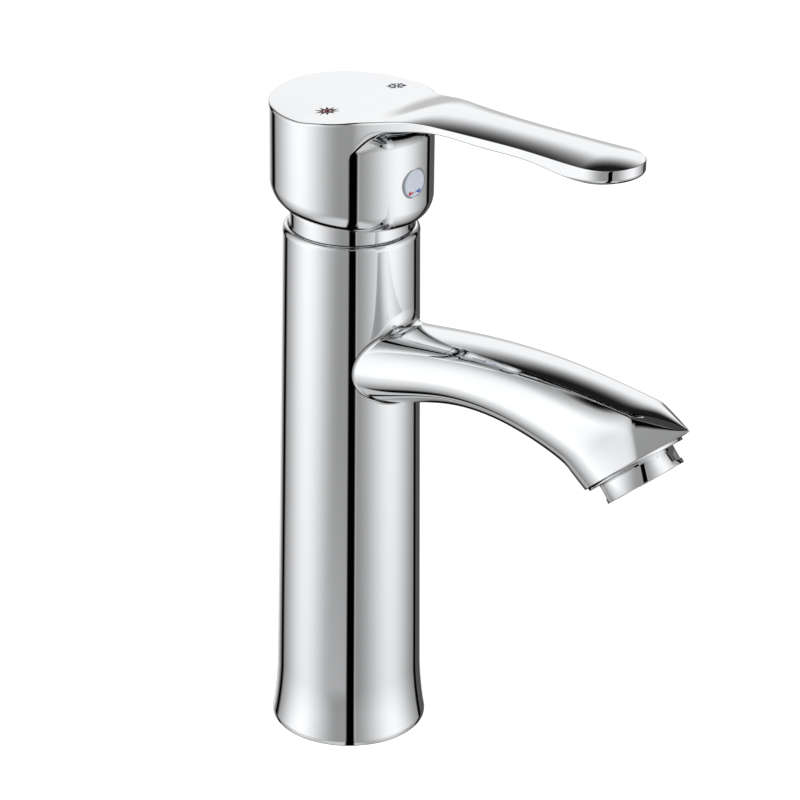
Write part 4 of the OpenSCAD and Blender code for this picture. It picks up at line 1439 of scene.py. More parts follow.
@dataclass(frozen=True)
class ButtonFinish(Finish):
    """Printed enamel of the index button: pale face, grey rim, a red and a blue wedge."""

    centre: tuple[float, float] = (0.0, 0.1888)
    face_r: float = 4.2
    wedge_drop: float = 2.9
    wedge_slope: float = 0.28
    wedge_l: float = 2.6
    wedge_gap: float = 0.2
    warm: str = "#C4182A"
    cool: str = "#2B63B8"
    edge: str = "#8E959E"

    def colour(self, tree: NodeTree, place: Node) -> NodeSocket:
        """The button's print, laid out round its middle on its front face.

        Args:
            tree: The material's tree.
            place: Node that gives the Object coordinates.

        Returns:
            The socket of the colour.
        """
        split = add_node(tree, "ShaderNodeSeparateXYZ", inputs={0: place.outputs["Object"]})
        east, up = self.centre
        made: dict[str, NodeSocket] = {"x": split.outputs[0], "z": split.outputs[2]}
        for name, operation, *given in (
            ("x", "SUBTRACT", "x", east),
            ("x", "DIVIDE", "x", MM),
            ("z", "SUBTRACT", "z", up),
            ("z", "DIVIDE", "z", MM),
            ("x squared", "MULTIPLY", "x", "x"),
            ("z squared", "MULTIPLY", "z", "z"),
            ("radius", "ADD", "x squared", "z squared"),
            ("radius", "SQRT", "radius"),
            ("rim", "GREATER_THAN", "radius", self.face_r),
            ("off", "ADD", "z", self.wedge_drop),
            ("off", "ABSOLUTE", "off"),
            ("aside", "ABSOLUTE", "x"),
            ("spread", "MULTIPLY", "aside", self.wedge_slope),
            ("wedge", "LESS_THAN", "off", "spread"),
            ("near", "LESS_THAN", "aside", self.wedge_l),
            ("wedge", "MULTIPLY", "wedge", "near"),
            ("left", "LESS_THAN", "x", -self.wedge_gap),
            ("right", "GREATER_THAN", "x", self.wedge_gap),
            ("warm", "MULTIPLY", "wedge", "left"),
            ("cool", "MULTIPLY", "wedge", "right"),
        ):
            values = {k: made[v] if isinstance(v, str) else v for k, v in enumerate(given)}
            made[name] = add_node(tree, "ShaderNodeMath", {"operation": operation}, values).outputs[0]
        face = super().colour(tree, place)
        for name, shade in (("warm", self.warm), ("cool", self.cool), ("rim", self.edge)):
            values = {0: made[name], 6: face, 7: linear(shade)}
            face = add_node(tree, "ShaderNodeMix", {"data_type": "RGBA"}, values).outputs[2]
        return face


@dataclass(frozen=True)
class MarkFinish(Finish):
    """Fired enamel of a mark, with another shade in its middle."""

    middle: tuple[float, float] = (0.0, 0.0)
    middle_r: float = 1.9
    top_z: float = 209.2
    core: str = "#6E1220"

    def colour(self, tree: NodeTree, place: Node) -> NodeSocket:
        """The mark's colour, with its core shade inside the middle's radius.

        Args:
            tree: The material's tree.
            place: Node that gives the Object coordinates.

        Returns:
            The socket of the colour.
        """
        middle = (self.middle[0] * MM, self.middle[1] * MM, self.top_z * MM)
        values = {0: place.outputs["Object"], 1: middle}
        shift = add_node(tree, "ShaderNodeVectorMath", {"operation": "SUBTRACT"}, values)
        length = add_node(tree, "ShaderNodeVectorMath", {"operation": "LENGTH"}, {0: shift.outputs[0]})
        core = add_node(tree, "ShaderNodeMath", {"operation": "LESS_THAN"}, {
            0: length.outputs["Value"], 1: self.middle_r * MM,
        })
        mix = add_node(tree, "ShaderNodeMix", {"data_type": "RGBA"}, {
            0: core.outputs[0], 6: super().colour(tree, place), 7: linear(self.core),
        })
        return mix.outputs[2]


# Bright chrome plate over polished brass: a clear mirror with the faintest wiping haze.
CHROME = Finish("bright_chrome_plate", "#EDEEF0", "#EFF0F1", Gloss.MIRROR, 1.0, drift_mm=40, grain_mm=9)
# Black EPDM rubber: dull and slightly chalky.
RUBBER = Finish("epdm_rubber", "#17181A", "#202124", Gloss.MATT, ior=1.52, grain_mm=0.4, bump_mm=0.02)
# Red silicone rubber of the port seals: soft sheen.
SILICONE = Finish("red_silicone", "#9C2A22", "#8A211B", Gloss.MOULDED, ior=1.43, grain_mm=0.5, bump_mm=0.01)
# Turned brass with fine tool marks round its axis.
BRASS = Finish("turned_brass", "#C6A765", "#B8975A", Gloss.SATIN, 1.0, bump_mm=0.008, turned_mm=0.25)
# Sintered alumina ground flat and lapped: creamy and close-grained.
ALUMINA = Finish(
    "lapped_alumina", "#EFECE2", "#E6E1D4", Gloss.POLISHED, ior=1.76, grain_mm=0.2, bump_mm=0.002
)
# Grey POM of the cartridge: moulded, waxy.
CARTRIDGE = Finish("grey_acetal", "#B9BBBD", "#AFB2B5", Gloss.SATIN, ior=1.48, grain_mm=0.5, bump_mm=0.006)
# White POM slides and aerator parts.
WHITE = Finish("white_acetal", "#E9E8E3", "#DDDCD6", Gloss.SATIN, ior=1.48, grain_mm=0.5, bump_mm=0.006)
# Orange glass-filled nylon of the rotor.
ROTOR = Finish("orange_nylon", "#D3612A", "#C35623", Gloss.MOULDED, ior=1.53, grain_mm=0.3, bump_mm=0.01)
# Red ABS stop ring.
LIMIT = Finish("red_abs", "#B0201D", "#9E1A18", Gloss.SATIN, ior=1.54, grain_mm=0.5, bump_mm=0.006)
# Stainless steel pins, screws and woven wire.
STEEL = Finish("stainless_steel", "#B9BBBE", "#A7AAAD", Gloss.SATIN, 1.0, grain_mm=0.3, bump_mm=0.003)
# Green acetal flow limiter.
LIMITER = Finish("green_acetal", "#2F7D55", "#296E4B", Gloss.SATIN, ior=1.48, grain_mm=0.4, bump_mm=0.006)
# Pale printed button under a clear coat.
BUTTON = ButtonFinish("printed_button", "#DCE4F1", "#D5DEEC", Gloss.POLISHED, ior=1.5, coat=0.6)
# Fired enamel of the hot and the cold mark.
HOT = MarkFinish(
    "hot_enamel", "#3A141B", "#2E1016", Gloss.POLISHED, ior=1.08, middle=(-13.2, -2.0), core="#5C1220"
)
COLD = MarkFinish(
    "cold_enamel", "#2C3038", "#363A42", Gloss.POLISHED, ior=1.08,
    middle=(16.8, -2.9), middle_r=0.7, core="#3B4250",
)


# -------- geometry node trees


def geometry_tree(name: str, sockets: dict[str, str]) -> tuple[NodeTree, Node]:
    """Starts a geometry tree.

    Args:
        name: The tree's name.
        sockets: Name and kind of each input between the geometry and the material.

    Returns:
        The tree and its input node.
    """
    tree = bpy.data.node_groups.new(name, "GeometryNodeTree")
    for label, kind in ({"Geometry": "Geometry"} | sockets | {"Material": "Material"}).items():
        tree.interface.new_socket(label, in_out="INPUT", socket_type="NodeSocket" + kind)
    tree.interface.new_socket("Geometry", in_out="OUTPUT", socket_type="NodeSocketGeometry")
    return tree, add_node(tree, "NodeGroupInput")


def end_tree(tree: NodeTree, shape: NodeSocket, material: NodeSocket) -> None:
    """Ends a tree with realised instances and its material.

    Args:
        tree: The geometry tree.
        shape: Socket that gives the shape.
        material: Socket that gives the material.
    """
    real = add_node(tree, "GeometryNodeRealizeInstances", inputs={0: shape})
    inputs = {"Geometry": real.outputs[0], "Material": material}
    dress = add_node(tree, "GeometryNodeSetMaterial", inputs=inputs)
    add_node(tree, "NodeGroupOutput", inputs={0: dress.outputs[0]})


def turned_tree() -> NodeTree:
    """A tree that turns a profile, a chain of points at radius x and height z, round the z axis.

    Returns:
        The node group, with the inputs Turns, Rows and Material.
    """
    tree, given = geometry_tree("turned_part", {"Turns": "Int", "Rows": "Int"})
    index = add_node(tree, "GeometryNodeInputIndex").outputs[0]
    made = {"turns": given.outputs["Turns"], "rows": given.outputs["Rows"], "index": index}
    for name, operation, *terms in (
        ("wide", "ADD", "turns", 1.0),
        ("row", "MODULO", "index", "rows"),
        ("turn", "ADD", "index", 0.5),
        ("turn", "DIVIDE", "turn", "rows"),
        ("turn", "FLOOR", "turn"),
        ("angle", "DIVIDE", "turn", "turns"),
        ("angle", "MULTIPLY", "angle", 2 * math.pi),
        ("east", "COSINE", "angle"),
        ("north", "SINE", "angle"),
    ):
        values = {k: made[v] if isinstance(v, str) else v for k, v in enumerate(terms)}
        made[name] = add_node(tree, "ShaderNodeMath", {"operation": operation}, values).outputs[0]
    counts = {"Vertices X": made["wide"], "Vertices Y": made["rows"]}
    grid = add_node(tree, "GeometryNodeMeshGrid", inputs=counts)
    here = add_node(tree, "GeometryNodeInputPosition").outputs[0]
    sample = add_node(tree, "GeometryNodeSampleIndex", {"data_type": "FLOAT_VECTOR", "domain": "POINT"}, {
        "Geometry": given.outputs["Geometry"], "Value": here, "Index": made["row"],
    })
    split = add_node(tree, "ShaderNodeSeparateXYZ", inputs={0: sample.outputs[0]})
    radius, height = split.outputs[0], split.outputs[2]
    x, y = (
        add_node(tree, "ShaderNodeMath", {"operation": "MULTIPLY"}, {0: radius, 1: made[way]}).outputs[0]
        for way in ("east", "north")
    )
    place = add_node(tree, "ShaderNodeCombineXYZ", inputs={0: x, 1: y, 2: height})
    moved = add_node(tree, "GeometryNodeSetPosition", inputs={
        "Geometry": grid.outputs["Mesh"], "Position": place.outputs[0],
    })
    inputs = {"Geometry": moved.outputs[0], "Distance": 1e-7}
    weld = add_node(tree, "GeometryNodeMergeByDistance", inputs=inputs)
    smooth = add_node(tree, "GeometryNodeSetShadeSmooth", inputs={"Geometry": weld.outputs[0]})
    end_tree(tree, smooth.outputs[0], given.outputs["Material"])
    return tree


def round_tree() -> NodeTree:
    """A tree that repeats its shape round the z axis.

    Returns:
        The node group, with the inputs Count, First Angle and Material.
    """
    tree, given = geometry_tree("repeat_round", {"Count": "Int", "First Angle": "Float"})
    count = given.outputs["Count"]
    points = add_node(tree, "GeometryNodePoints", inputs={"Count": count})
    index = add_node(tree, "GeometryNodeInputIndex").outputs[0]
    angle = 2 * math.pi
    for operation, term in (("DIVIDE", count), ("MULTIPLY", index), ("ADD", given.outputs["First Angle"])):
        angle = add_node(tree, "ShaderNodeMath", {"operation": operation}, {0: angle, 1: term}).outputs[0]
    turn = add_node(tree, "ShaderNodeCombineXYZ", inputs={2: angle})
    copies = add_node(tree, "GeometryNodeInstanceOnPoints", inputs={
        "Points": points.outputs[0], "Instance": given.outputs["Geometry"], "Rotation": turn.outputs[0],
    })
    end_tree(tree, copies.outputs[0], given.outputs["Material"])
    return tree


def screen_tree() -> NodeTree:
    """A tree that lays wires side by side over a disc, each as long as the disc is wide there.

    Returns:
        The node group, with the inputs Radius, Wires, Thickness and Material.
    """
    tree, given = geometry_tree("wire_screen", {"Radius": "Float", "Wires": "Int", "Thickness": "Float"})
    radius, wires, thick = (given.outputs[k] for k in ("Radius", "Wires", "Thickness"))
    points = add_node(tree, "GeometryNodePoints", inputs={"Count": wires})
    index = add_node(tree, "GeometryNodeInputIndex").outputs[0]
    made = {"radius": radius, "index": index, "wires": wires, "thick": thick}
    for name, operation, *terms in (
        ("across", "ADD", "index", 0.5),
        ("across", "DIVIDE", "across", "wires"),
        ("across", "MULTIPLY", "across", 2.0),
        ("across", "SUBTRACT", "across", 1.0),
        ("across", "MULTIPLY", "across", "radius"),
        ("radius squared", "MULTIPLY", "radius", "radius"),
        ("across squared", "MULTIPLY", "across", "across"),
        ("chord", "SUBTRACT", "radius squared", "across squared"),
        ("chord", "SQRT", "chord"),
        ("chord", "MULTIPLY", "chord", 2.0),
        ("over", "MULTIPLY", "thick", 0.4),
        ("under", "MULTIPLY", "thick", -0.4),
    ):
        values = {k: made[v] if isinstance(v, str) else v for k, v in enumerate(terms)}
        made[name] = add_node(tree, "ShaderNodeMath", {"operation": operation}, values).outputs[0]
    wire = add_node(tree, "GeometryNodeMeshCylinder", inputs={"Vertices": 6, "Radius": 0.5, "Depth": 1.0})
    sheets = []
    for layer, turn in (("over", 0.0), ("under", math.pi / 2)):
        place = add_node(tree, "ShaderNodeCombineXYZ", inputs={0: made["across"], 2: made[layer]})
        moved = add_node(tree, "GeometryNodeSetPosition", inputs={
            "Geometry": points.outputs[0], "Position": place.outputs[0],
        })
        size = add_node(tree, "ShaderNodeCombineXYZ", inputs={0: thick, 1: thick, 2: made["chord"]})
        copies = add_node(tree, "GeometryNodeInstanceOnPoints", inputs={
            "Points": moved.outputs[0], "Instance": wire.outputs["Mesh"],
            "Rotation": (math.pi / 2, 0.0, 0.0), "Scale": size.outputs[0],
        })
        real = add_node(tree, "GeometryNodeRealizeInstances", inputs={0: copies.outputs[0]})
        turned = add_node(tree, "GeometryNodeTransform", inputs={
            "Geometry": real.outputs[0], "Rotation": (0.0, 0.0, turn),
        })
        sheets.append(turned.outputs[0])
    both = add_node(tree, "GeometryNodeJoinGeometry")
    for sheet in sheets:
        tree.links.new(sheet, both.inputs[0])
    end_tree(tree, both.outputs[0], given.outputs["Material"])
    return tree


def grown(name: str, seed: Mesh, tree: NodeTree, values: dict[str, object]) -> Mesh:
    """Runs a geometry tree on a mesh and keeps the result as a plain mesh.

    Args:
        name: Name of the new mesh.
        seed: The mesh to start from.
        tree: The geometry tree.
        values: The tree's inputs by name.

    Returns:
        The resulting mesh.
    """
    holder = bpy.data.objects.new(name + "_seed", seed)
    bpy.context.scene.collection.objects.link(holder)
    modifier = holder.modifiers.new("grow", "NODES")
    modifier.node_group = tree
    for item in tree.interface.items_tree:
        if item.item_type == "SOCKET" and item.in_out == "INPUT" and item.name in values:
            modifier[item.identifier] = values[item.name]
    graph = bpy.context.evaluated_depsgraph_get()
    mesh = bpy.data.meshes.new_from_object(holder.evaluated_get(graph))
    mesh.name = name
    bpy.data.objects.remove(holder)
    bpy.data.meshes.remove(seed)
    return mesh


def chain(points: Array) -> Mesh:
    """A mesh of points joined one to the next, from radius and height in millimetres.

    Args:
        points: Radius and height of each point.

    Returns:
        The mesh, with x as the radius.
    """
    mesh = bpy.data.meshes.new("profile")
    verts = [(r * MM, 0.0, z * MM) for r, z in points]
    mesh.from_pydata(verts, [(k, k + 1) for k in range(len(verts) - 1)], [])
    return mesh


def plate(outline: Sequence[tuple[float, float]], low: float, high: float) -> Mesh:
    """A flat plate of even thickness.

    Args:
        outline: Corners in order, in millimetres.
        low: Height of its underside.
        high: Height of its top.

    Returns:
        The closed mesh.
    """
    n = len(outline)
    verts = [(x * MM, y * MM, z * MM) for z in (low, high) for x, y in outline]
    sides = [(k, (k + 1) % n, n + (k + 1) % n, n + k) for k in range(n)]
    mesh = bpy.data.meshes.new("plate")
    mesh.from_pydata(verts, [], [range(n)[::-1], range(n, 2 * n), *sides])
    return mesh


def joined(name: str, meshes: Sequence[Mesh], move: Matrix | None = None) -> Mesh:
    """One mesh of several, moved into place.

    Args:
        name: Name of the new mesh.
        meshes: Meshes to join; they are removed.
        move: Where to put them.

    Returns:
        The joined mesh.
    """
    out = bpy.data.meshes.new(name)
    with editing(out) as bm:
        for mesh in meshes:
            bm.from_mesh(mesh)
        if move is not None:
            bm.transform(move)
        for face in bm.faces:
            face.material_index = 0
    materials = [m for mesh in meshes for m in mesh.materials if m]
    for material in materials[:1]:
        out.materials.append(material)
    for mesh in meshes:
        bpy.data.meshes.remove(mesh)
    return out


# -------- sub-assemblies


@dataclass
class Body:
    """The standing part: casting and bonnet ring; its base seal and bushes are the frame's own nodes."""

    casting: BodyCasting = field(default_factory=BodyCasting)
    bonnet_r: float = 19.0
    bonnet_foot: float = 168.0
    dome_r: float = 21.3
    dome_z: float = 165.25
    mouth_r: float = 15.7
    wall: float = 1.3
    turns: int = 192

    def bonnet_profile(self) -> Array:
        """Closed half-section of the bonnet, from its mouth round the outside.

        Returns:
            Radius and height of each point, in millimetres.
        """
        shoulder = self.dome_z + math.sqrt(self.dome_r**2 - self.bonnet_r**2)
        start = math.asin(self.bonnet_r / self.dome_r)
        end = math.asin(self.mouth_r / self.dome_r)
        foot = rounded([
            (self.bonnet_r - 1.2, self.bonnet_foot + 0.4, 0),
            (self.bonnet_r - 0.8, self.bonnet_foot, 0.1),
            (self.bonnet_r, self.bonnet_foot, 0.25),
            (self.bonnet_r, self.bonnet_foot + 1.0, 0),
        ]).points
        heights = np.linspace(self.bonnet_foot + 1.4, shoulder - 0.6, 8)
        side = np.stack([np.full(8, self.bonnet_r), heights], axis=1)
        a = np.linspace(start, end + 0.02, 26)
        dome = np.stack([self.dome_r * np.sin(a), self.dome_z + self.dome_r * np.cos(a)], axis=1)
        mouth_z = self.dome_z + self.dome_r * math.cos(end)
        inner = self.dome_r - self.wall
        lip = rounded([
            (float(dome[-1][0]), float(dome[-1][1]), 0),
            (self.mouth_r, mouth_z, 0.25),
            (self.mouth_r, self.dome_z + math.sqrt(inner**2 - self.mouth_r**2), 0.2),
            (self.bonnet_r - 1.2, self.dome_z + math.sqrt(inner**2 - (self.bonnet_r - 1.2) ** 2), 0.3),
            (self.bonnet_r - 1.2, self.bonnet_foot + 0.4, 0),
        ]).points
        return np.vstack([foot, side, dome[:-1], lip[1:]])

    def build(self, chrome: Material, tree: NodeTree) -> None:
        """Builds and dresses the visible pieces of the body.

        Args:
            chrome: The chrome material.
            tree: The tree that turns profiles.
        """
        casting = self.casting.build()
        casting.data.materials.append(chrome)
        keep(casting, "mixer_body", "chrome_body", "faucet_body")
        profile = self.bonnet_profile()
        values = {"Turns": self.turns, "Rows": len(profile), "Material": chrome}
        bonnet = place_mesh(outward(grown("bonnet_ring", chain(profile), tree, values)))
        keep(bonnet, "mixer_body", "chrome_body", "bonnet")


@dataclass
class Handle:
    """The moving part on top: casting, index button and the two marks."""

    casting: HandleCasting = field(default_factory=HandleCasting)
    top_z: float = 209.2
    proud: float = 0.03
    sunk: float = 0.15
    hot_at: tuple[float, float] = (-13.2, -2.0)
    cold_at: tuple[float, float] = (16.8, -2.9)
    hot_r: float = 3.8
    cold_r: float = 3.1
    rays: int = 10
    button_r: float = 4.95
    button_face: float = 25.05
    button_z: float = 188.8

    def sun(self, tree: NodeTree, turned: NodeTree, material: Material) -> Mesh:
        """The hot mark: a ringed middle with pointed rays.

        Args:
            tree: Tree that repeats a shape round an axis.
            turned: Tree that turns a profile.
            material: The mark's enamel.

        Returns:
            The finished mesh.
        """
        low, high = self.top_z - self.sunk, self.top_z + self.proud
        ray = plate([(1.8, -0.5), (self.hot_r, 0.0), (1.8, 0.5), (1.7, 0.0)], low, high)
        rays = grown("rays", ray, tree, {"Count": self.rays, "First Angle": 0.13, "Material": material})
        disc = [(0.0, low), (0.95, low), (0.95, high), (0.0, high)]
        ring = [(1.2, low), (1.9, low), (1.9, high), (1.2, high), (1.2, low)]
        parts = [
            grown("ring", chain(np.array(p)), turned, {"Turns": 40, "Rows": len(p), "Material": material})
            for p in (disc, ring)
        ]
        move = Matrix.Translation((self.hot_at[0] * MM, self.hot_at[1] * MM, 0.0))
        return self.laid(outward(joined("hot_mark_sun", [rays, *parts], move)))

    def snowflake(self, tree: NodeTree, material: Material) -> Mesh:
        """The cold mark: six arms, each with a pair of twigs.

        Args:
            tree: Tree that repeats a shape round an axis.
            material: The mark's enamel.

        Returns:
            The finished mesh.
        """
        low, high = self.top_z - self.sunk, self.top_z + self.proud
        half, tip, fork = 0.26, self.cold_r, self.cold_r * 0.5
        reach = self.cold_r * 0.36
        c, s = math.cos(math.radians(55)), math.sin(math.radians(55))
        upper = [
            (0.35, half),
            (fork, half),
            (fork + reach * c, half + reach * s),
            (fork + reach * c + 2 * half * s, half + reach * s - 2 * half * c),
            (fork + 2.4 * half, half),
            (tip, half),
        ]
        arm = plate([*upper, *[(x, -y) for x, y in reversed(upper)]], low, high)
        arms = grown("arms", arm, tree, {"Count": 6, "First Angle": 0.2, "Material": material})
        move = Matrix.Translation((self.cold_at[0] * MM, self.cold_at[1] * MM, 0.0))
        return self.laid(outward(joined("cold_mark_snowflake", [arms], move)))

    def laid(self, mark: Mesh) -> Mesh:
        """Lays a flat mark on the cap's curved top."""
        for vertex in mark.vertices:
            x, y = -vertex.co.y / MM, vertex.co.x / MM
            vertex.co.z += (float(self.casting.top(np.array([x, y]))) - self.top_z) * MM
        return mark

    def button(self, turned: NodeTree, material: Material) -> Mesh:
        """The index button: a thin domed disc on a short shank, facing forward.

        Args:
            turned: Tree that turns a profile.
            material: The button's plastic.

        Returns:
            The finished mesh.
        """
        profile = rounded([
            (0.0, -5.0, 0),
            (2.4, -5.0, 0.3),
            (2.4, -1.2, 0.1),
            (self.button_r, -1.2, 0.15),
            (self.button_r, -0.12, 0.3),
            (4.2, -0.02, 0.4),
            (0.0, 0.0, 0),
        ]).points
        values = {"Turns": 64, "Rows": len(profile), "Material": material}
        mesh = grown("button", chain(profile), turned, values)
        place = Matrix.Translation((0.0, -self.button_face * MM, self.button_z * MM))
        return outward(joined("index_button_disc", [mesh], place @ Matrix.Rotation(math.pi / 2, 4, "X")))

    def build(self, chrome: Material, turned: NodeTree, around: NodeTree) -> None:
        """Builds and dresses the handle's pieces.

        Args:
            chrome: The chrome material.
            turned: The tree that turns profiles.
            around: The tree that repeats a shape round an axis.
        """
        casting = self.casting.build()
        casting.data.materials.append(chrome)
        keep(casting, "lever_handle", "chrome_body", "handle")
        keep(place_mesh(self.sun(around, turned, HOT.build())), "lever_handle", "hot_enamel", "hot_mark")
        keep(place_mesh(self.snowflake(around, COLD.build())), "lever_handle", "cold_enamel", "cold_mark")
        button = place_mesh(self.button(turned, BUTTON.build()))
        keep(button, "lever_handle", "button_plastic", "index_button")


@dataclass
class Aerator:
    """The outlet: screwed housing with two flats, and the wire screens inside."""

    edge: float = 0.4
    flat_angle: float = math.radians(2)
    edge_angle: float = math.radians(35)
    clock: float = math.radians(-30)
    wire: float = 0.35
    wires: int = 17
    screen_r: float = 9.3
    depths: tuple[float, float] = (-3.4, -0.4)

    def housing(self, frame: dict, spout: Spout, chrome: Material) -> bpy.types.Object:
        """The housing with its edges broken, from a copy of its frame node.

        Args:
            frame: The loaded frame.
            spout: The spout that it screws into.
            chrome: Its plating.

        Returns:
            The new object.
        """
        mesh = frame["nodes"]["aerator_housing"].data.copy()
        mesh.name = "aerator_shell"
        shape = {"segments": 3, "profile": 0.5, "affect": "EDGES", "clamp_overlap": True}
        with editing(mesh) as bm:
            bmesh.ops.remove_doubles(bm, verts=bm.verts, dist=1e-6)
            bmesh.ops.dissolve_limit(bm, angle_limit=self.flat_angle, verts=bm.verts, edges=bm.edges)
            sharp = [e for e in bm.edges if e.is_manifold and e.calc_face_angle() > self.edge_angle]
            bmesh.ops.bevel(bm, geom=sharp, offset=self.edge * MM, **shape)
            for face in bm.faces:
                face.smooth = True
            bm.transform(self.clocking(spout))
        mesh.materials.clear()
        mesh.materials.append(chrome)
        return place_mesh(mesh)

    def clocking(self, spout: Spout) -> Matrix:
        """The turn about the outlet's axis at which the screwed-in housing has come to rest.

        Args:
            spout: The spout that it screws into.

        Returns:
            The turn, in the frame's metres.
        """
        middle, _, flow = spout.outlet_axes()
        here = Vector(to_part(middle))
        turn = Matrix.Rotation(self.clock, 4, Vector(turn_only(flow)))
        return Matrix.Translation(here) @ turn @ Matrix.Translation(-here)

    def build(self, frame: dict, spout: Spout, chrome: Material, steel: Material) -> None:
        """Builds and dresses the outlet's pieces.

        Args:
            frame: The loaded frame.
            spout: The spout that the outlet belongs to.
            chrome: The chrome material.
            steel: The wire's material.
        """
        shell = self.housing(frame, spout, chrome)
        keep(shell, "mixer_body", "chrome_body", "aerator_housing")
        middle, _, flow = spout.outlet_axes()
        turn = Vector((0, 0, -1)).rotation_difference(Vector(turn_only(flow))).to_matrix().to_4x4()
        values = {"Radius": self.screen_r * MM, "Thickness": self.wire * MM}
        values |= {"Wires": self.wires, "Material": steel}
        tree = screen_tree()
        screens = []
        for depth in self.depths:
            mesh = grown("screen", chain(np.array([(0.0, 0.0), (1.0, 0.0)])), tree, values)
            spot = Vector(to_part(middle - flow * depth))
            screens.append(joined("screen", [mesh], Matrix.Translation(spot) @ turn))
        piece = place_mesh(outward(joined("woven_screens", screens)))
        keep(piece, "mixer_body", "steel_pin", "aerator_screens")


@dataclass(frozen=True)
class HiddenParts:
    """The frame's own nodes that keep their shape, and the finish that each one gets."""

    finishes: tuple[tuple[Finish, tuple[str, ...]], ...] = (
        (RUBBER, ("base_gasket", "aerator_gasket")),
        (SILICONE, ("port_seals", "disc_seals")),
        (BRASS, ("retaining_nut", "lever_stem", "inlet_bushes", "stud_bush")),
        (ALUMINA, ("fixed_disc", "moving_disc")),
        (CARTRIDGE, ("cartridge_base", "cartridge_housing")),
        (WHITE, ("disc_coupler", "slide_ring", "aerator_cage")),
        (ROTOR, ("rotor",)),
        (LIMIT, ("limit_ring",)),
        (STEEL, ("pivot_pin", "grub_screw")),
        (LIMITER, ("flow_limiter",)),
    )

    def dress(self, frame: dict) -> dict[str, Material]:
        """Gives each kept node its material.

        Args:
            frame: The loaded frame.

        Returns:
            The materials by name.
        """
        made = {}
        for finish, nodes in self.finishes:
            made[finish.name] = finish.build()
            for node in nodes:
                for place in frame["nodes"][node].material_slots:
                    place.material = made[finish.name]
                LOG.info("%s keeps its shape, in %s", node, finish.name)
        return made


def outward(mesh: Mesh) -> Mesh:
    """Turns a mesh's faces outward after welding its doubles.

    Args:
        mesh: The mesh to mend in place.

    Returns:
        The same mesh.
    """
    with editing(mesh) as bm:
        bmesh.ops.remove_doubles(bm, verts=bm.verts, dist=1e-7)
        bmesh.ops.recalc_face_normals(bm, faces=bm.faces)
    return mesh


def keep(piece: bpy.types.Object, body: str, slot: str, node: str) -> None:
    """Puts a finished piece on its body and hides the frame node that it stands for.

    Args:
        piece: The piece.
        body: The body it moves with.
        slot: The record's material slot; not used.
        node: The frame node that it stands for.
    """
    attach(piece, body)
    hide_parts(node)
    LOG.info("%s: %d faces, rides on %s", piece.name, len(piece.data.polygons), body)


# -------- studio


class Patch(Enum):
    """The three shapes that a panel of the studio may have."""

    WALL = "upright, between two azimuths"
    STRIP = "a straight strip that passes under the object"
    DISC = "round"


@dataclass(frozen=True)
class Panel:
    """A soft box or a black flag of the studio, as a patch of the surroundings.

    Angles are in degrees. Azimuth is measured from the camera's side, positive to its right,
    and elevation from the horizon. Level is the sRGB grey that bright chrome shows of it. Ahead
    is the stretch over which a strip fades in, as the cosine of the angle from its middle.
    """

    level: float
    azimuth: float
    half: float
    soft: float
    low: float = -91.0
    high: float = 91.0
    fade: float = 2.0
    shape: Patch = Patch.WALL
    tilt: float = 0.0
    ahead: tuple[float, float] = (-0.3, -0.1)

    def mask(
        self,
        tree: NodeTree,
        way: NodeSocket,
        level_way: NodeSocket,
        height: NodeSocket,
        front: float,
    ) -> NodeSocket:
        """Adds the nodes that say how far a direction lies on the panel.

        Args:
            tree: The world's tree.
            way: The direction.
            level_way: The direction, flattened to the horizon.
            height: Sine of the direction's elevation.
            front: Azimuth of the camera in the world, in radians.

        Returns:
            Share from 0 to 1.
        """
        turn = front + math.radians(self.azimuth)
        rise = math.radians(self.tilt)
        middle = (math.cos(turn) * math.cos(rise), math.sin(turn) * math.cos(rise), math.sin(rise))
        across = (-math.sin(turn), math.cos(turn), 0.0)
        strip = self.shape is Patch.STRIP
        ends = {0: level_way if self.shape is Patch.WALL else way, 1: across if strip else middle}
        side = add_node(tree, "ShaderNodeVectorMath", {"operation": "DOT_PRODUCT"}, ends)
        operation = "ARCSINE" if strip else "ARCCOSINE"
        angle = add_node(tree, "ShaderNodeMath", {"operation": operation}, {0: side.outputs["Value"]})
        off = add_node(tree, "ShaderNodeMath", {"operation": "ABSOLUTE"}, {0: angle.outputs[0]})
        full, none = math.radians(max(self.half - self.soft, 0)), math.radians(self.half + self.soft)
        limits = [(off.outputs[0], full, none, 1)]
        for edge, way_in in ((self.low, 0), (self.high, 1)):
            if abs(edge) <= 90:
                first, last = max(edge - self.fade, -90), min(edge + self.fade, 90)
                limits.append((height, math.sin(math.radians(first)), math.sin(math.radians(last)), way_in))
        if strip:
            ahead = add_node(tree, "ShaderNodeVectorMath", {"operation": "DOT_PRODUCT"}, {0: way, 1: middle})
            limits.append((ahead.outputs["Value"], *self.ahead, 0))
        share = None
        for value, first, last, way_in in limits:
            limit = add_node(tree, "ShaderNodeMapRange", {"interpolation_type": "SMOOTHSTEP"}, {
                "Value": value, "From Min": first, "From Max": last, "To Min": way_in, "To Max": 1 - way_in,
            }).outputs[0]
            if share is not None:
                both = {0: share, 1: limit}
                limit = add_node(tree, "ShaderNodeMath", {"operation": "MULTIPLY"}, both).outputs[0]
            share = limit
        return share


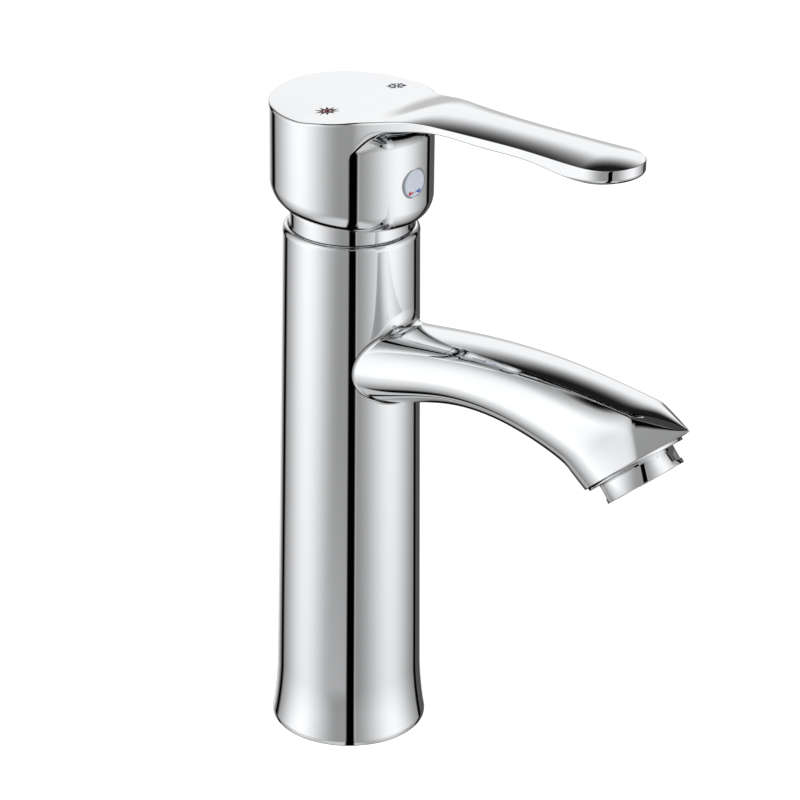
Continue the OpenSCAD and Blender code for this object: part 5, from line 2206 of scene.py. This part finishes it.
@dataclass
class Studio:
    """Pale floor, soft light and camera."""

    camera_at: tuple[float, float, float] = (-0.7447, -0.6676, 0.5845)
    look: tuple[float, float, float] = (0.6819, 0.5927, -0.4287)
    roll: float = 0.012
    lens: float = 161.06
    floor_r: float = 6.0
    chrome_share: float = 0.85
    tent: float = 146.0
    table_fall: tuple[float, float] = (-33.0, -20.0)
    table_levels: tuple[float, float] = (0.74, 1.02)
    floor_glow: float = 0.62
    lamp_w: float = 14.0
    lamp_size: float = 1.2
    lamp_at: tuple[float, float, float] = (-0.75, -0.85, 1.25)
    panels: tuple[Panel, ...] = (
        # Large soft boxes to the left and right of the camera, brightest in their middle.
        Panel(252, -77, 31, 31, low=-50, high=62, fade=18),
        Panel(246, 69, 31, 31, low=-50, high=62, fade=18),
        # Pale wall behind the object, greyer near the table and fading to dark above.
        Panel(239, 180, 26, 6, low=-30, high=48, fade=4),
        Panel(186, 180, 30, 8, low=-12, high=3, fade=5),
        Panel(26, 180, 38, 8, low=34, fade=12),
        # Pale round card on the table, in front of the object.
        Panel(228, -15, 32, 8, shape=Patch.DISC, tilt=-62),
        # Black flag from over the camera to under the object, with a grey sliver beside it.
        Panel(2, 2, 5.6, 1.4, high=50, fade=3, shape=Patch.STRIP),
        Panel(176, 9.4, 0.7, 0.4, low=-60, high=45, fade=3),
        # Black flags where the soft boxes end, and a grey one beside the wall.
        Panel(2, -138, 6.5, 4, high=30, fade=8),
        Panel(2, 133, 5.5, 2.5, high=30, fade=8),
        Panel(84, 151, 13, 3, high=10, fade=8),
        # Black gap round the ceiling, the dim ceiling, and the dark table behind.
        Panel(4, 0, 181, 1, low=62, high=68, fade=1.5),
        Panel(60, 0, 181, 1, low=69, fade=1.5),
        Panel(4, 180, 35, 4, shape=Patch.DISC, tilt=-72),
    )

    def world(self) -> None:
        """Surrounds the object with soft boxes, black flags and a pale tent."""
        world = bpy.data.worlds.new("studio")
        bpy.context.scene.world = world
        tree = blank_tree(world)
        place = add_node(tree, "ShaderNodeTexCoord")
        way = place.outputs["Generated"]
        flat = add_node(tree, "ShaderNodeVectorMath", {"operation": "MULTIPLY"}, {0: way, 1: (1.0, 1.0, 0.0)})
        level_way = add_node(tree, "ShaderNodeVectorMath", {"operation": "NORMALIZE"}, {0: flat.outputs[0]})
        height = add_node(tree, "ShaderNodeSeparateXYZ", inputs={0: way}).outputs[2]
        front = math.atan2(self.camera_at[1], self.camera_at[0])
        sky = linear(self.tent)
        for panel in self.panels:
            share = panel.mask(tree, way, level_way.outputs[0], height, front)
            sky = add_node(tree, "ShaderNodeMix", {"data_type": "RGBA"}, {
                0: share, 6: sky, 7: linear(panel.level),
            }).outputs[2]
        values = {"Value": height}
        for end, edge, level in zip(("Min", "Max"), self.table_fall, self.table_levels):
            values["From " + end] = math.sin(math.radians(edge))
            values["To " + end] = level / self.chrome_share
        fall = add_node(tree, "ShaderNodeMapRange", inputs=values)
        rays = add_node(tree, "ShaderNodeLightPath")
        back = add_node(tree, "ShaderNodeBackground", inputs={0: sky, 1: fall.outputs[0]})
        white = add_node(tree, "ShaderNodeBackground", inputs={0: (1.0, 1.0, 1.0, 1.0), 1: 1.0})
        seen = add_node(tree, "ShaderNodeMixShader", inputs={
            0: rays.outputs["Is Camera Ray"], 1: back.outputs[0], 2: white.outputs[0],
        })
        add_node(tree, "ShaderNodeOutputWorld", inputs={0: seen.outputs[0]})

    def floor(self) -> None:
        """Lays a white floor that keeps the object's soft shadow."""
        mesh = bpy.data.meshes.new("studio_floor")
        with editing(mesh) as bm:
            bmesh.ops.create_circle(bm, cap_ends=True, segments=96, radius=self.floor_r)
        obj = place_mesh(mesh)
        obj.visible_glossy = False
        material = bpy.data.materials.new("white_paper")
        tree = blank_tree(material)
        place = add_node(tree, "ShaderNodeTexCoord")
        values = {"Vector": place.outputs["Object"], "Scale": 60.0}
        fibre = add_node(tree, "ShaderNodeTexNoise", inputs=values)
        shade = add_node(tree, "ShaderNodeMix", {"data_type": "RGBA"}, {
            0: fibre.outputs[0], 6: linear("#F4F4F4"), 7: linear("#F7F7F7"),
        })
        paper = add_node(tree, "ShaderNodeBsdfDiffuse", inputs={"Color": shade.outputs[2]})
        rays = add_node(tree, "ShaderNodeLightPath")
        lift = add_node(tree, "ShaderNodeMath", {"operation": "MULTIPLY"}, {
            0: rays.outputs["Is Camera Ray"], 1: self.floor_glow,
        })
        glow = add_node(tree, "ShaderNodeEmission", inputs={"Strength": lift.outputs[0]})
        both = add_node(tree, "ShaderNodeAddShader", inputs={0: paper.outputs[0], 1: glow.outputs[0]})
        add_node(tree, "ShaderNodeOutputMaterial", inputs={"Surface": both.outputs[0]})
        mesh.materials.append(material)

    def lamp(self) -> None:
        """Hangs one large soft lamp overhead for the shadow on the floor."""
        light = bpy.data.lights.new("overhead", "AREA")
        light.shape, light.size, light.size_y = "RECTANGLE", self.lamp_size, self.lamp_size
        light.energy = self.lamp_w
        obj = bpy.data.objects.new("overhead", light)
        obj.location = self.lamp_at
        obj.rotation_euler = (Vector((0, 0, 0.1)) - obj.location).to_track_quat("-Z", "Y").to_euler()
        obj.visible_glossy = False
        bpy.context.scene.collection.objects.link(obj)

    def camera(self) -> None:
        """Sets up the camera."""
        data = bpy.data.cameras.new("camera")
        data.lens = self.lens
        data.sensor_width = 36.0
        data.clip_start, data.clip_end = 0.05, 30.0
        forward = Vector(self.look).normalized()
        right = forward.cross(Vector((0, 0, 1))).normalized()
        up = right.cross(forward)
        across = right * math.cos(self.roll) + up * math.sin(self.roll)
        rise = up * math.cos(self.roll) - right * math.sin(self.roll)
        turn = Matrix((across, rise, -forward)).transposed().to_4x4()
        obj = bpy.data.objects.new("camera", data)
        obj.matrix_world = Matrix.Translation(self.camera_at) @ turn
        bpy.context.scene.collection.objects.link(obj)
        bpy.context.scene.camera = obj

    def build(self) -> None:
        """Sets up the whole studio."""
        bpy.context.scene.view_settings.view_transform = "Standard"
        self.world()
        self.floor()
        self.lamp()
        self.camera()


def main() -> None:
    """Builds the mixer round the frame, piece by piece."""
    logging.basicConfig(level=logging.INFO, format="%(message)s")
    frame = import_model()
    Studio().build()
    made = HiddenParts().dress(frame)
    chrome = CHROME.build()
    turned = turned_tree()
    body = Body()
    body.build(chrome, turned)
    Handle().build(chrome, turned, round_tree())
    Aerator().build(frame, body.casting.spout, chrome, made[STEEL.name])


if __name__ == "__main__":
    main()
